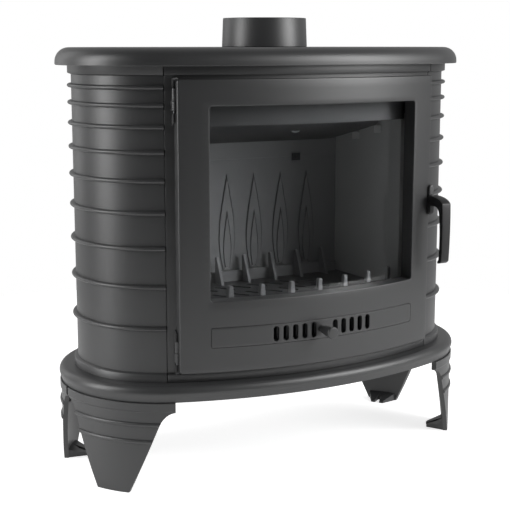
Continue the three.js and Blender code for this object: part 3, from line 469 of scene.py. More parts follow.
def cast_material(name, colour, roughness, mottle, bump, highlight=0.25, specular=0.5):
    material, tree, shader = new_material(name)
    grain = placed(tree, GRAIN, Color=(*colour, 1), Mottle=mottle, Roughness=roughness)
    # the outer edges take a lighter colour here: a painted highlight, not wear
    edge_lift = placed(tree, EDGE_HIGHLIGHT, Amount=highlight)
    bright = tuple(min(1, c * 1.9 + 0.02) for c in colour)
    link(tree, mix_colour(tree, edge_lift["Mask"], grain["Color"], (*bright, 1)),
         shader.inputs["Base Color"])
    link(tree, grain["Roughness"], shader.inputs["Roughness"])
    relief(tree, shader, grain["Height"], bump, GRAIN_DEPTH)
    put(shader, Specular_IOR_Level=specular)
    return material


def brushed_material(name, colour, roughness):
    material, tree, shader = new_material(name)
    lines = placed(tree, LINES, Color=(*colour, 1), Roughness=roughness)
    link(tree, lines["Color"], shader.inputs["Base Color"])
    link(tree, lines["Roughness"], shader.inputs["Roughness"])
    relief(tree, shader, lines["Height"], 0.12, LINE_DEPTH)
    put(shader, Metallic=1.0)
    return material


def rope_material():
    """Woven glass-fibre rope, darkened by smoke."""
    material, tree, shader = new_material("seal_rope")
    strands = tree.nodes.new("ShaderNodeTexVoronoi")
    put(strands, Scale=STRAND_SCALE)
    link(tree, own_place(tree), strands.inputs["Vector"])
    apart = strands.outputs["Distance"]
    link(tree, mix_colour(tree, apart, (0.05, 0.048, 0.045, 1), (0.012, 0.012, 0.012, 1)),
         shader.inputs["Base Color"])
    relief(tree, shader, apart, 0.8, STRAND_DEPTH, invert=True)
    put(shader, Roughness=0.95)
    return material


def glass_material():
    """Clear heat-proof glass, a little grey with smoke, that lamps shine through."""
    material, tree, shader = new_material("stove_glass")
    smoky, clean = (0.84, 0.85, 0.86, 1), (0.90, 0.91, 0.92, 1)
    haze = noise(tree, own_place(tree), 9, 4)
    link(tree, mix_colour(tree, haze, smoky, clean), shader.inputs["Base Color"])
    put(shader, Roughness=0.0, Metallic=0.0, Transmission_Weight=1.0, IOR=1.47)
    clear = tree.nodes.new("ShaderNodeBsdfTransparent")
    put(clear, Color=smoky)
    path = tree.nodes.new("ShaderNodeLightPath")
    blend = tree.nodes.new("ShaderNodeMixShader")
    for i, value in enumerate((path.outputs["Is Shadow Ray"], shader.outputs[0],
                               clear.outputs[0])):
        link(tree, value, blend.inputs[i])
    link(tree, blend.outputs[0], tree.nodes["Material Output"].inputs["Surface"])
    return material


IRON = cast_material("matt_grey_iron", (0.030, 0.0305, 0.0315), 0.42, 0.08, 0.06, specular=0.8)
BLACK = cast_material("matt_black_iron", (0.012, 0.012, 0.0125), 0.45, 0.15, 0.08, highlight=0.1)
FIRED = cast_material("fired_iron", (0.22, 0.22, 0.22), 0.6, 0.12, 0.04, highlight=0.0)
SOOTED = cast_material("sooted_iron", (0.06, 0.06, 0.06), 0.6, 0.12, 0.04, highlight=0.0)
# The liners' pale colour is painted light: it stands in for light from the front left that no
# lamp gives them.
LINER_PAINTED_LIGHT = cast_material("liner_painted_light", (0.42, 0.42, 0.41), 0.8, 0.1, 0.04, highlight=0.0)
STEEL = brushed_material("turned_steel", (0.32, 0.33, 0.34), 0.32)
DARK_STEEL = brushed_material("dull_steel", (0.11, 0.112, 0.116), 0.42)
ROPE = rope_material()
GLASS = glass_material()
SLOTS = {made.name: slot for slot, group in (
    ("cast_iron", [IRON]), ("black_iron", [BLACK]), ("fired_iron", [FIRED, SOOTED]),
    ("bright_steel", [STEEL, DARK_STEEL]), ("seal_rope", [ROPE]), ("glass", [GLASS]),
) for made in group}

# ------------------------------------------------------------------ oval castings

END_TURN = pi - atan2(END_X, FRONT_CENTRE)


def oval(radius):
    """Plan of the stove: round ends, a shallow bowed front and a straight back."""
    end_steps, front_steps, back_steps = 44, 44, 10
    front_angle = atan2(END_X, FRONT_CENTRE)
    front_radius = FRONT_DISTANCE + radius
    spots = []
    for i in range(end_steps + 1):
        turn = pi / 2 + END_TURN * i / end_steps
        spots.append((-END_X + radius * cos(turn), radius * sin(turn)))
    for i in range(1, front_steps):
        turn = front_angle * (2 * i / front_steps - 1)
        spots.append((front_radius * sin(turn), FRONT_CENTRE - front_radius * cos(turn)))
    for i in range(end_steps, -1, -1):
        turn = pi / 2 - END_TURN * i / end_steps
        spots.append((END_X + radius * cos(turn), radius * sin(turn)))
    for i in range(1, back_steps):
        spots.append((END_X - 2 * END_X * i / back_steps, radius))
    return spots


def oval_walls(casting, levels):
    casting.quads([[(x, y, z) for x, y in oval(radius)] for radius, z in levels])


def roll(radius, z, r, start, end, steps):
    """Rings of a rounded edge: an arc of radius r about (radius, z)."""
    turns = [radians(start + (end - start) * i / steps) for i in range(steps + 1)]
    return [(radius + r * cos(t), z + r * sin(t)) for t in turns]


def base_plate():
    casting = Casting()
    foot = LEG_HEIGHT
    levels = [(175.0, foot), (184.8, foot), (185.0, foot + 0.2), (186.1, foot + 5.0),
              (187.2, foot + 8.4)]
    oval_walls(casting, levels + roll(BASE_FLAT, BASE_TOP - 12, 12.0, -28, 90, 14))
    oval_walls(casting, [(175.0, foot), (174.6, BASE_TOP - 12), (BASE_INNER, BASE_UNDER)])
    holes = []
    for turn in LEG_TURNS.values():
        x = (1 if turn > 0 else -1) * END_X + BOLT_REACH * sin(radians(turn))
        holes.append(circle(4.5, 16, x, -BOLT_REACH * cos(radians(turn))))
    casting.face(level(BASE_TOP), oval(BASE_FLAT), holes)
    casting.face(level(BASE_UNDER), oval(BASE_INNER), holes)
    for hole in holes:
        casting.upright(hole, BASE_UNDER, BASE_TOP)
    fitted(casting.build("base_casting", IRON), "base_plate")


def top_plate():
    casting = Casting()
    edge = 24.0
    levels = [(174.4, RIM_BOTTOM), (181.4, RIM_BOTTOM), (182.4, RIM_BOTTOM + 1)]
    oval_walls(casting, levels + roll(TOP_FLAT, TOP_FACE - edge, edge, 0, 90, 16))
    oval_walls(casting, [(174.4, RIM_BOTTOM), (174.4, TOP_FACE - edge), (168.4, TOP_UNDER)])
    hole = circle(69.3, 72)
    casting.face(level(TOP_FACE), oval(TOP_FLAT), [hole], (24, 24))
    casting.face(level(TOP_UNDER), oval(168.4), [hole])
    casting.upright(hole, TOP_UNDER, TOP_FACE)
    fitted(casting.build("top_casting", IRON), "top_plate")


def flue_collar():
    casting = Casting()
    foot = TOP_FACE + JOINT
    rim = TOP_FACE + 50
    profile = [(64.8, TOP_UNDER), (68.6, TOP_UNDER), (68.6, foot), (74.4, foot),
               (75.0, foot + 0.8), (73.1, rim - 1.2), (72.6, rim - 0.3), (71.8, rim),
               (67.9, rim), (67.1, rim - 0.4), (66.7, rim - 1.4), (65.2, rim - 6),
               (64.8, rim - 7), (64.8, TOP_UNDER)]
    casting.quads([[(x, y, z) for x, y in circle(r, 96)] for r, z in profile])
    fitted(casting.build("flue_collar_casting", IRON), "flue_collar")


RIB_HEIGHTS = [RIM_BOTTOM - 33.7 - n * 28.2 - n * (n - 1) * 2.9208 for n in range(9)]


def rib(radius, z, height, proud):
    """Rounded rib, full at its upper edge, that runs out into the wall below."""
    turns = [radians(-90 + 180 * i / 8) for i in range(9)]
    spots = [(radius + proud * max(cos(t), 0) ** 0.75, z + height / 2 * sin(t))
             for t in turns]
    return [(radius, z - height / 2 - 1.2), *spots, (radius, z + height / 2 + 0.6)]


def side_wall(side):
    inner = BODY_RADIUS - WALL
    band = BODY_RADIUS + BAND
    profile = [(inner, BODY_FLOOR), (band, BODY_FLOOR), (band, BASE_TOP + 12.6),
               (band - 0.5, BASE_TOP + 13.4), (BODY_RADIUS, BASE_TOP + 15.4)]
    for z in reversed(RIB_HEIGHTS):
        profile += rib(BODY_RADIUS, z, 7.5, 7.0)
    profile += [(BODY_RADIUS, RIM_BOTTOM - 15.4), (band - 0.5, RIM_BOTTOM - 13.4),
                (band, RIM_BOTTOM - 12.6), (band, BODY_TOP), (inner, BODY_TOP)]
    seam = SEAMS[side] - 0.2
    start, end = (-seam, 89.9) if side > 0 else (90.1, 180 + seam)
    steps = 60
    casting = Casting()
    rings = []
    for i in range(steps + 1):
        turn = radians(start + (end - start) * i / steps)
        rings.append([(side * END_X + r * cos(turn), r * sin(turn), z) for r, z in profile])
    casting.quads(rings, cap=True)
    name = "left" if side < 0 else "right"
    fitted(casting.build(f"side_casting_{name}", IRON, 40), f"side_wall_{name}")


# ------------------------------------------------------------------ bowed castings

def bowed(radius):
    return lambda x, z: (x, bow_y(radius, x), z)


def bowed_ring(loop, radius):
    return [(x, bow_y(radius, x), z) for x, z in loop]


def shape_ring(shape, radius, grow=0.0):
    return bowed_ring(rounded(*shape, grow=grow), radius)


def bowed_plate(casting, shape, holes, front, back, edge, pitch=(9, 18)):
    """A bowed plate with rounded edges front and back. Shapes are rounded() sizes."""
    turn = fillet(edge, 3)
    rings = [(g, front - d) for g, d in turn] + [(g, back + d) for g, d in reversed(turn)]
    casting.quads([shape_ring(shape, r, g) for g, r in rings])
    for hole in holes:
        casting.quads([shape_ring(hole, r, -g) for g, r in rings])
    for radius in (front, back):
        casting.face(bowed(radius), rounded(*shape, grow=-edge),
                     [rounded(*hole, grow=edge) for hole in holes], pitch)


def pad(casting, shape, front, back, edge):
    """A flat pad on the door, rounded in front. The shape is rounded() sizes."""
    rings = [(g, front + d) for g, d in fillet(edge)] + [(0, back)]
    casting.quads([[(x, y, z) for x, z in rounded(*shape, grow=g)] for g, y in rings],
                  cap=True)


def knuckle(casting, z, ends_z, x0, x1, y0, y1):
    """A hinge barrel, and the block from x0, y0 to x1, y1 that holds it."""
    low, high = z + ends_z[0], z + ends_z[1]
    ends = KNUCKLE - 0.7
    casting.lathe([(ends, low), (KNUCKLE, low + 0.7), (KNUCKLE, high - 0.7), (ends, high)],
                  on_hinge, 32)
    casting.upright(rounded(x0, x1, y0, y1, 1.0, steps=3), low, high, cap=True)


def door_frame():
    casting = Casting()
    outer = (-DOOR_HALF, DOOR_HALF, DOOR_BOTTOM, DOOR_TOP, 4)
    window = (-WINDOW_HALF, WINDOW_HALF, WINDOW_BOTTOM, WINDOW_TOP, 5)
    inset = (-WINDOW_HALF, WINDOW_HALF, AIR_Z - 17, AIR_Z + 17, 4)
    well = (-WELL_HALF, WELL_HALF, AIR_Z - 16.1, AIR_Z + 16.1, 1)
    edge, lip, crisp = 1.8, 1.6, 0.25  # roundings of the door, the window and the inset
    flange, rim = 5, 7  # thickness of the turned edge and of the window's rim
    skin, step = DOOR_RADIUS - 8, DOOR_RADIUS - 5.3
    back, deep = DOOR_RADIUS - 12.5, DOOR_RADIUS - 29
    pitch = (9, 18)

    def walls(shape, *rings):
        casting.quads([shape_ring(shape, radius, grow) for grow, radius in rings])
    casting.face(bowed(DOOR_RADIUS), rounded(*outer, grow=-edge),
                 [rounded(*window, grow=lip), rounded(*inset, grow=crisp)], pitch)
    walls(outer, *((g, DOOR_RADIUS - d) for g, d in fillet(edge)),
          (0, DOOR_RADIUS - 12.1), (-0.4, back))
    walls(window, *((-g, DOOR_RADIUS - d) for g, d in fillet(lip)),
          (0, DOOR_RADIUS - 28.6), (0.4, deep), (6.6, deep), (rim, DOOR_RADIUS - 28.6),
          (rim, skin))
    walls(inset, (crisp, DOOR_RADIUS), (0, DOOR_RADIUS - crisp), (0, step))
    casting.face(bowed(step), rounded(*inset), [rounded(*well)], pitch)
    walls(well, (0, step), (0, skin))
    casting.face(bowed(skin), rounded(*outer, grow=-flange),
                 [rounded(*window, grow=rim), rounded(*well)], pitch)
    walls(outer, (-0.4, back), (-flange, back), (-flange, skin))
    door = casting.build("door_casting", IRON)
    rooms = []  # cut out of the turned edge for the hinges
    behind = bow_y(skin, DOOR_HALF)
    for low, high, below, above in ((DOOR_BOTTOM - 2, DOOR_BOTTOM + 67, 0, 12),
                                    (DOOR_TOP - 67, DOOR_TOP + 2, 12, 0)):
        tool = Casting()
        loops = []
        for y, share in ((behind + 0.4, 0), (behind + 12, 1)):
            loop = rounded(-DOOR_HALF - 3, -DOOR_HALF + 5.6, low - below * share,
                           high + above * share, 1, steps=3, pitch=200)
            loops.append([(x, y, z) for x, z in loop])
        tool.quads(loops, cap=True)
        rooms.append(tool.build("notch", IRON))
    for z in HINGE_ZS:
        tool = Casting()
        tool.lathe([(KNUCKLE + 1, z - 20), (KNUCKLE + 1, z - 0.2)], on_hinge, 32)
        rooms.append(tool.build("knuckle_room", IRON))
    carve(door, rooms)
    extra = Casting()
    for z in HINGE_ZS:
        knuckle(extra, z, DOOR_KNUCKLE, HINGE_X + 0.1, HINGE_X + KNUCKLE,
                DOOR_CORNER + 3, HINGE_Y)
    boss = (BOSS_X - 4, BOSS_X + 7, HANDLE_Z - 27, HANDLE_Z + 27, 5.4)
    pad(extra, boss, BOSS_FRONT, bow_y(DOOR_RADIUS - 9, BOSS_X - 7), 1.6)
    carve(door, [extra.build("boss_and_knuckles", IRON)], "UNION")
    fitted(door, "door_frame", "door")


def door_seal():
    """Round rope bedded in the door, squeezed a little by the frame."""
    casting = Casting()
    half = DOORWAY_HALF + 16
    middle = (-half + 4.5, half - 4.5, DOORWAY_BOTTOM - 11.5, DOORWAY_TOP + 11.5, 10)
    land = DOOR_RADIUS - 8.3  # the rope lies between this and the front frame
    deep = (land + FRAME_RADIUS + JOINT) / 2
    swell = (land - FRAME_RADIUS - JOINT) / 2
    rings = []
    for i in range(12):
        turn = 2 * pi * i / 12
        rings.append(bowed_ring(rounded(*middle, grow=4.4 * cos(turn), pitch=6),
                                deep + swell * sin(turn)))
    casting.quads([*rings, rings[0]])
    fitted(casting.build("rope_seal", ROPE, 60), "door_seal", "door")


def glass_pane():
    """A bowed pane with ground edges, built on a regular grid so that it reflects evenly."""
    casting = Casting()
    half, low, high = WINDOW_HALF + 6, WINDOW_BOTTOM - 6, WINDOW_TOP + 6
    edge, columns = 0.5, 64
    xs = [-half + edge + 2 * (half - edge) * i / columns for i in range(columns + 1)]
    levels = ((low + edge, low), (high - edge, high))

    def row(z, radius):
        return bowed_ring([(x, z) for x in xs], radius)

    def column(x, radius):
        return bowed_ring([(x, z) for z, _ in levels], radius)
    for radius, deeper in ((GLASS_FRONT, GLASS_FRONT - edge), (GLASS_BACK, GLASS_BACK + edge)):
        casting.quads([row(z, radius) for z, _ in levels], closed=False)
        for z, out in levels:
            casting.quads([row(z, radius), row(out, deeper)], closed=False)
        for x, out in ((xs[0], -half), (xs[-1], half)):
            casting.quads([column(x, radius), column(out, deeper)], closed=False)
            for z, beyond in levels:
                casting.mesh.faces.new([casting.mesh.verts.new(point(*spot)) for spot in (
                    (x, bow_y(radius, x), z), (out, bow_y(deeper, out), z),
                    (x, bow_y(deeper, x), beyond))])
    rim = ([(x, low) for x in xs] + [(half, low + edge), (half, high - edge)]
           + [(x, high) for x in reversed(xs)] + [(-half, high - edge), (-half, low + edge)])
    casting.quads([bowed_ring(rim, r) for r in (GLASS_FRONT - edge, GLASS_BACK + edge)])
    fitted(casting.build("window_glass", GLASS), "glass_pane", "door")


SLOT_XS = [side * (21 + SLOT_PITCH * i) for side in (-1, 1) for i in range(5)]


def air_plate():
    casting = Casting()
    half = WINDOW_HALF - 0.6
    shape = (-half, half, AIR_Z - 16.4, AIR_Z + 16.4, 3.5)
    slots = [(x - 4.9, x + 4.9, AIR_Z - 13, AIR_Z + 13, 4.85) for x in SLOT_XS]
    stem = (KNOB_X - 4.5, KNOB_X + 13.2, AIR_Z - 4.1, AIR_Z + 4.1, 3.5)
    bowed_plate(casting, shape, [*slots, stem], DOOR_RADIUS, DOOR_RADIUS - 5, 0.3, (6, 8))
    fitted(casting.build("air_plate_casting", IRON), "air_plate", "door")


def air_knob():
    front = bow_y(DOOR_RADIUS, KNOB_X)
    profile = [(3.8, 7.0), (3.8, 1.2), (4.1, 1.0), (5.6, 1.0), (6.0, 1.4), (6.1, 5.0)]
    profile += [(6.1 + 4.3 * i / 10, 5 + 30.5 * i / 10) for i in range(1, 10)]
    profile += [(7.9 + 2.5 * cos(radians(a)), 35.5 + 2.5 * sin(radians(a)))
                for a in range(0, 91, 15)]
    casting = Casting()
    casting.lathe(profile, lambda a, b, h: (KNOB_X + a, front - h, AIR_Z + b), 48)
    fitted(casting.build("air_knob_turning", IRON), "air_knob", "air_control")


def frame_bend(inset):
    """The front frame's plan: the bow, with a round corner towards each seam."""
    def place(u, z):
        if abs(u) <= TANGENT_X:
            radius = FRAME_RADIUS - inset
            turn = asin(u / FRAME_RADIUS)
            return (radius * sin(turn), ARC_CENTRE - radius * cos(turn), z)
        radius = BODY_RADIUS - inset
        side = 1 if u > 0 else -1
        turn = CORNER - (abs(u) - TANGENT_X) / BODY_RADIUS
        return (side * (END_X + radius * cos(turn)), -radius * sin(turn), z)
    return place


def front_frame():
    casting = Casting()
    left, right = (TANGENT_X + BODY_RADIUS * (CORNER - radians(SEAMS[side] + 0.2))
                   for side in (-1, 1))
    shape = (-left, right, BODY_FLOOR, BODY_TOP, 0.5)
    holes = [
        (-DOORWAY_HALF, DOORWAY_HALF, DOORWAY_BOTTOM, DOORWAY_TOP, 8),
        (-DOORWAY_HALF + 30, DOORWAY_HALF - 30, BASE_TOP + 12, HEARTH_LEDGE - 14, 6),
        (HANDLE_X - 19.5, HANDLE_X + 8.5, HANDLE_Z - 24, HANDLE_Z + 24, 4),
    ]
    edge = 0.4

    def outline(shape, grow):
        return rounded(*shape, grow=grow, pitch=7)

    def walls(shape, rings):
        casting.quads([[frame_bend(d)(x, z) for x, z in outline(shape, g)]
                       for g, d in rings])
    rings = [(-edge, 0.0), (0.0, edge), (0.0, FRAME_SHEET - edge), (-edge, FRAME_SHEET)]
    walls(shape, rings)
    for hole in holes:
        walls(hole, [(-g, d) for g, d in rings])
    for inset in (0.0, FRAME_SHEET):
        casting.face(frame_bend(inset), outline(shape, -edge),
                     [outline(hole, edge) for hole in holes], (7, 14))
    for low, high in ((BODY_FLOOR, BASE_TOP + 14), (RIM_BOTTOM - 14, BODY_TOP)):
        band = (-left, right, low, high, 0.9)
        walls(band, [(-0.9, -BAND), (-0.3, -5.8), (0.0, -5.2), (0.0, 1.0)])
        for inset, inward in ((-BAND, -0.9), (1.0, 0.0)):
            casting.face(frame_bend(inset), outline(band, inward), [], (7, 5))
    ledge = (-192, 192, HEARTH_LEDGE - 10, HEARTH_LEDGE, 1)
    bowed_plate(casting, ledge, [], FRAME_RADIUS - 7, FRAME_RADIUS - 18, 0.5)
    for z in HINGE_ZS:
        knuckle(casting, z, FRAME_KNUCKLE, HINGE_X - KNUCKLE, HINGE_X, HINGE_Y,
                bow_y(FRAME_RADIUS, HINGE_X) + 3)
    fitted(casting.build("front_casting", IRON), "front_frame")


def hinge_pin(place, z):
    casting = Casting()
    shank = [(2.1, z - 18), (2.5, z - 17.5), (2.5, z + 17.4), (2.0, z + 18)]
    head = [(3.0, z - 19.5), (3.5, z - 19.0), (3.5, z - 16), (3.1, z - 15.4)]
    for profile in (shank, head):
        casting.lathe(profile, on_hinge, 28)
    fitted(casting.build(f"hinge_pin_turned_{place}", DARK_STEEL), f"hinge_pin_{place}")


# ------------------------------------------------------------------ handle

def handle_plate():
    casting = Casting()
    front, back = LEVER_BACK + JOINT, BOSS_FRONT - JOINT
    tail = (BOSS_X - 4.5, BOSS_X + 4.5, HANDLE_Z - 24, HANDLE_Z, 4.4)
    pad(casting, tail, front, back, 0.8)
    disc = [(8.8, front - 0.02), (9.6, front + 0.3), (10.0, front + 1.1), (10.0, back)]
    casting.lathe(disc, lambda a, b, h: (HANDLE_X + a, h, HANDLE_Z + b))
    fitted(casting.build("handle_plate_casting", BLACK), "handle_plate", "door")


def quadratic(start, middle, end):
    """Points of a bend from start to end, without its start."""
    spots = []
    for t in (i / 8 for i in range(1, 9)):
        spots.append(tuple(a * (1 - t) ** 2 + 2 * m * t * (1 - t) + b * t * t
                           for a, m, b in zip(start, middle, end)))
    return spots


def lever_outline():
    front = LEVER_BACK - 38
    z = HANDLE_Z
    low = z - 110
    spots = [(LEVER_BACK, z + 9), (LEVER_BACK - 14, z + 7.5)]
    for middle, end in (((front + 6, z + 5), (front, z - 3)),
                        ((front - 3, z - 50), (front, low + 6)),
                        ((front + 4, low), (front + 12, low)),
                        ((front + 13, low + 4), (front + 9, low + 7)),
                        ((front + 5, z - 55), (front + 9, z - 26)),
                        ((front + 10, z - 10), (front + 22, z - 9))):
        spots += quadratic(spots[-1], middle, end)
    spots.append((LEVER_BACK, z - 9))
    return spots


def handle_lever():
    casting = Casting()
    outline = lever_outline()

    def half(z):
        return 9.5 - 1.2 * max(0.0, (HANDLE_Z - z) / 111)
    casting.quads([[(HANDLE_X + side * half(z), y, z) for y, z in outline]
                   for side in (-1, 1)], cap=True)
    lever = casting.build("handle_casting", BLACK)
    soften(lever, 1.1, 3, 28)
    evaluated(lever)
    smooth(lever.data, 30)
    fitted(lever, "handle_lever", "handle")


# ------------------------------------------------------------------ legs

LEG_HALF = 125.5
FOOT_HALF = 31.0
HOLLOW = 40.0  # radius of the hollow curve below the leg's crown


def leg_half(z):
    """Half width of a leg, drawn flat: a straight taper, then a hollow curve."""
    curve_z = LEG_HEIGHT - 15 - HOLLOW - 2
    spare = LEG_HALF - FOOT_HALF
    lean = atan2(spare, curve_z) - asin(HOLLOW / hypot(spare, curve_z))
    touch_z = curve_z + HOLLOW * sin(pi - lean)
    touch_x = LEG_HALF + HOLLOW * cos(pi - lean)
    if z <= touch_z:
        return FOOT_HALF + (touch_x - FOOT_HALF) * z / touch_z
    if z >= curve_z + HOLLOW:
        return LEG_HALF
    return LEG_HALF - sqrt(max(0.0, HOLLOW ** 2 - (z - curve_z) ** 2))


def leg(name, turn):
    casting = Casting()
    outer = 186.0
    inner = outer - 8
    top = LEG_HEIGHT - JOINT
    crown = LEG_HEIGHT - 17
    levels = [(z, outer) for z in [0.0, 1.5] + [5 + i * 5 for i in range(15)]]
    for middle in (LEG_HEIGHT - 66, LEG_HEIGHT - 37):
        levels.append((middle - 6.0, outer))
        levels += [(z, r) for r, z in rib(outer, middle, 7.0, 3.0)]
        levels.append((middle + 8.0, outer))
    levels += [(crown - drop, outer) for drop in (6, 3, 1.2, 0.35, 0.05)]
    levels.sort()
    levels += [(crown + 0.05, outer), (crown + 1.5, outer + 0.2), (crown + 3.5, outer + 2),
               (top - 0.6, outer + 2), (top, outer + 1.4)]
    across = 22
    centre = (1 if turn > 0 else -1) * END_X
    ca, sa = cos(radians(turn)), sin(radians(turn))

    def stand(x, y, z):
        return (centre + x * ca - y * sa, x * sa + y * ca, z)

    def row(z, radius):
        half = atan2(leg_half(z), outer)
        turns = [half * (2 * i / across - 1) for i in range(across + 1)]
        return [(radius * sin(t), -radius * cos(t), z) for t in turns]

    def web(profile, half):
        casting.quads([[stand(x, y, z) for y, z in profile] for x in (-half, half)], cap=True)
    casting.quads([[stand(*p) for p in row(z, radius) + row(z, inner)[::-1]]
                   for z, radius in levels], cap=True)
    wedge = [(-inner - 2, 0), (-inner + 33, 0), (-inner + 33, 3), (-inner + 30, 5),
             (-inner, 15), (-inner - 2, 15)]
    (heel, heel_half), (toe, toe_half) = (-inner - 2, 29.5), (-inner + 33, 12.3)

    def prong_half(y):
        return heel_half + (toe_half - heel_half) * ((y - heel) / (toe - heel))
    for side in (-1, 1):
        casting.quads([[stand(side * 4.5, y, z) for y, z in wedge],
                       [stand(side * prong_half(y), y, z) for y, z in wedge]], cap=True)
    web([(-inner - 2, 0), (-inner + 12, 0), (-inner + 12, 9.4), (-inner, 15),
         (-inner - 2, 15)], 5)
    web([(-inner - 1, LEG_HEIGHT - 63), (-150, top - 9), (-150, top - 4),
         (-inner - 1, top - 4)], 4)
    seat = BASE_UNDER - JOINT
    for y0, y1, z0, z1 in ((-inner - 1, -150, top - 9, top - 2),
                           (-BASE_INNER, -164.8, top - 9, seat),
                           (-BASE_INNER, -141, seat - 8, seat)):
        casting.quads([[stand(x, y, z) for x, y in (
            (-40, y0), (40, y0), (40, y1), (-40, y1))] for z in (z0, z1)], cap=True)
    fitted(casting.build(f"leg_casting_{name}", IRON, 38), f"leg_{name}")


# ------------------------------------------------------------------ inside

def leaf(width, height):
    """Right half of a pointed leaf, from its foot to its tip."""
    half = width / 2
    a, b, c, d = (half * 0.45, 0), (half * 1.15, height * 0.3), (
        half * 1.1, height * 0.45), (0, height)
    spots = []
    for t in (i / 14 for i in range(15)):
        spots.append(tuple(p * (1 - t) ** 3 + 3 * q * t * (1 - t) ** 2
                           + 3 * r * t * t * (1 - t) + s * t ** 3
                           for p, q, r, s in zip(a, b, c, d)))
    return spots


def leaf_loop(x, z, width, height):
    right = leaf(width, height)
    left = [(-u, v) for u, v in right[-2::-1]]
    return [(x + u, z + v) for u, v in right + left]


def groove(casting, x, z, width, height, front, behind):
    """Fine groove round a leaf. Returns its outer edge and the leaf's own edge in it."""
    outer, inner = (x, z, width, height), (x, z + 1.6, width - 3.2, height - 12)
    floor_y = front + 5.0
    casting.quads([[(u, y, v) for u, v in leaf_loop(*shape)] for shape, y in (
        (outer, front), (outer, floor_y), (inner, floor_y), (inner, behind))])
    return leaf_loop(*outer), leaf_loop(*inner)


def fireback_lower():
    casting = Casting()
    half, leaf_pitch = 211.7, 57.7
    foot, top = HEARTH_TOP + JOINT, TOP_FACE - 205.6
    face, leaf_face, heart_face = 92, 90.4, 89.2
    rims = []
    for i in range(6):
        x = (i - 2.5) * leaf_pitch
        rim, leaf_edge = groove(casting, x, HEARTH_TOP + 20, 38, 182, face, leaf_face)
        rims.append(rim)
        heart, heart_edge = groove(casting, x, HEARTH_TOP + 24, 19, 110, leaf_face,
                                   heart_face)
        casting.face(standing(leaf_face), leaf_edge, [heart])
        casting.face(standing(heart_face), heart_edge)
    edge = [(-half, foot), (half, foot), (half, top), (-half, top)]
    casting.face(standing(face), edge, rims, (20, 20))
    casting.quads([[(x, y, z) for x, z in edge] for y in (face, FIREBACK)])
    casting.face(standing(FIREBACK), edge)
    fitted(casting.build("fireback_casting", FIRED, 25), "fireback_lower")


def baffle_z(y):
    return TOP_FACE - 175 + (91 - y) * 0.23


def baffle_plate():
    casting = Casting()
    half, behind, front = 200, 91, -70
    side = [(behind, baffle_z(behind)), (behind, baffle_z(behind) + 10),
            (front, baffle_z(front) + 10), (front, baffle_z(front) + 7), (-60, baffle_z(-60))]
    casting.quads([[(x, y, z) for y, z in side] for x in (-half, half)], cap=True)
    baffle = casting.build("baffle_casting", SOOTED)
    soften(baffle, 1.2)
    evaluated(baffle)
    hook = Casting()
    rings = []
    for i in range(25):
        turn = pi + pi * i / 24
        rings.append([(46 + (8 + 2 * cos(a)) * cos(turn), -30 + 2 * sin(a),
                       baffle_z(-30) + 2.5 + (5 + 2 * cos(a)) * sin(turn))
                      for a in (2 * pi * k / 12 for k in range(12))])
    hook.quads(rings, cap=True)
    fitted(hook.build("baffle_hook", STEEL), None)
    fitted(baffle, "baffle_plate")


def air_deflector():
    casting = Casting()
    half, sheet = DOORWAY_HALF - 4, 3
    low, high = WINDOW_TOP - 34, DOORWAY_TOP + 14
    front = GLASS_BACK - 8
    bowed_plate(casting, (-half, half, low, high, 1), [], front, front - sheet, 0.5)
    bowed_plate(casting, (-half, half, high - sheet, high, 1), [], FRAME_RADIUS - 8.3,
                front - 2, 0.4)
    fitted(casting.build("air_deflector_sheet", SOOTED), "air_deflector")


def front_guard():
    casting = Casting()
    foot, top = HEARTH_TOP + JOINT, WINDOW_BOTTOM + 12.4
    front, back = 620, 611
    bowed_plate(casting, (-207.6, 207.6, foot, foot + 9, 1), [], front, back, 1.0)
    for x in ((i - 3.5) * 55.4 for i in range(8)):
        rings = []
        for z, half, deep in ((foot, 6.5, 0.0), (top - 1.5, 3.7, 0.0), (top, 2.7, 1.0)):
            rings.append([(u, bow_y(r, u), z) for u, r in (
                (x - half + 1, front - deep), (x + half - 1, front - deep),
                (x + half, front - 1 - deep), (x + half, back + 1 + deep),
                (x + half - 1, back + deep), (x - half + 1, back + deep),
                (x - half, back + 1 + deep), (x - half, front - 1 - deep))])
        casting.quads(rings, cap=True)
    fitted(casting.build("front_guard_casting", FIRED), "front_guard")


def grate():
    casting = Casting()
    outer = rounded(-140, 140, -62, 62, 6)
    under = HEARTH_TOP - 8
    turn = radians(-55)
    slots = []
    for i in range(-3, 4):
        for row in (-28, 28):
            slots.append([(i * 34 + x * cos(turn) - y * sin(turn),
                           row + x * sin(turn) + y * cos(turn))
                          for x, y in rounded(-21, 21, -5, 5, 4.8)])
    for z in (HEARTH_TOP, under):
        casting.face(level(z), outer, slots, (20, 20))
    for loop in (outer, *slots):
        casting.upright(loop, under, HEARTH_TOP)
    fitted(casting.build("grate_casting", SOOTED), "grate")


# ------------------------------------------------------------------ the stove

base_plate()
top_plate()
flue_collar()
side_wall(-1)
side_wall(1)
front_frame()
for leg_name, leg_turn in LEG_TURNS.items():
    leg(leg_name, leg_turn)
door_frame()
door_seal()
glass_pane()
air_plate()
air_knob()
for pin_name, pin_z in zip(("upper", "lower"), HINGE_ZS):
    hinge_pin(pin_name, pin_z)
handle_plate()
handle_lever()
fireback_lower()
baffle_plate()
air_deflector()
front_guard()
grate()

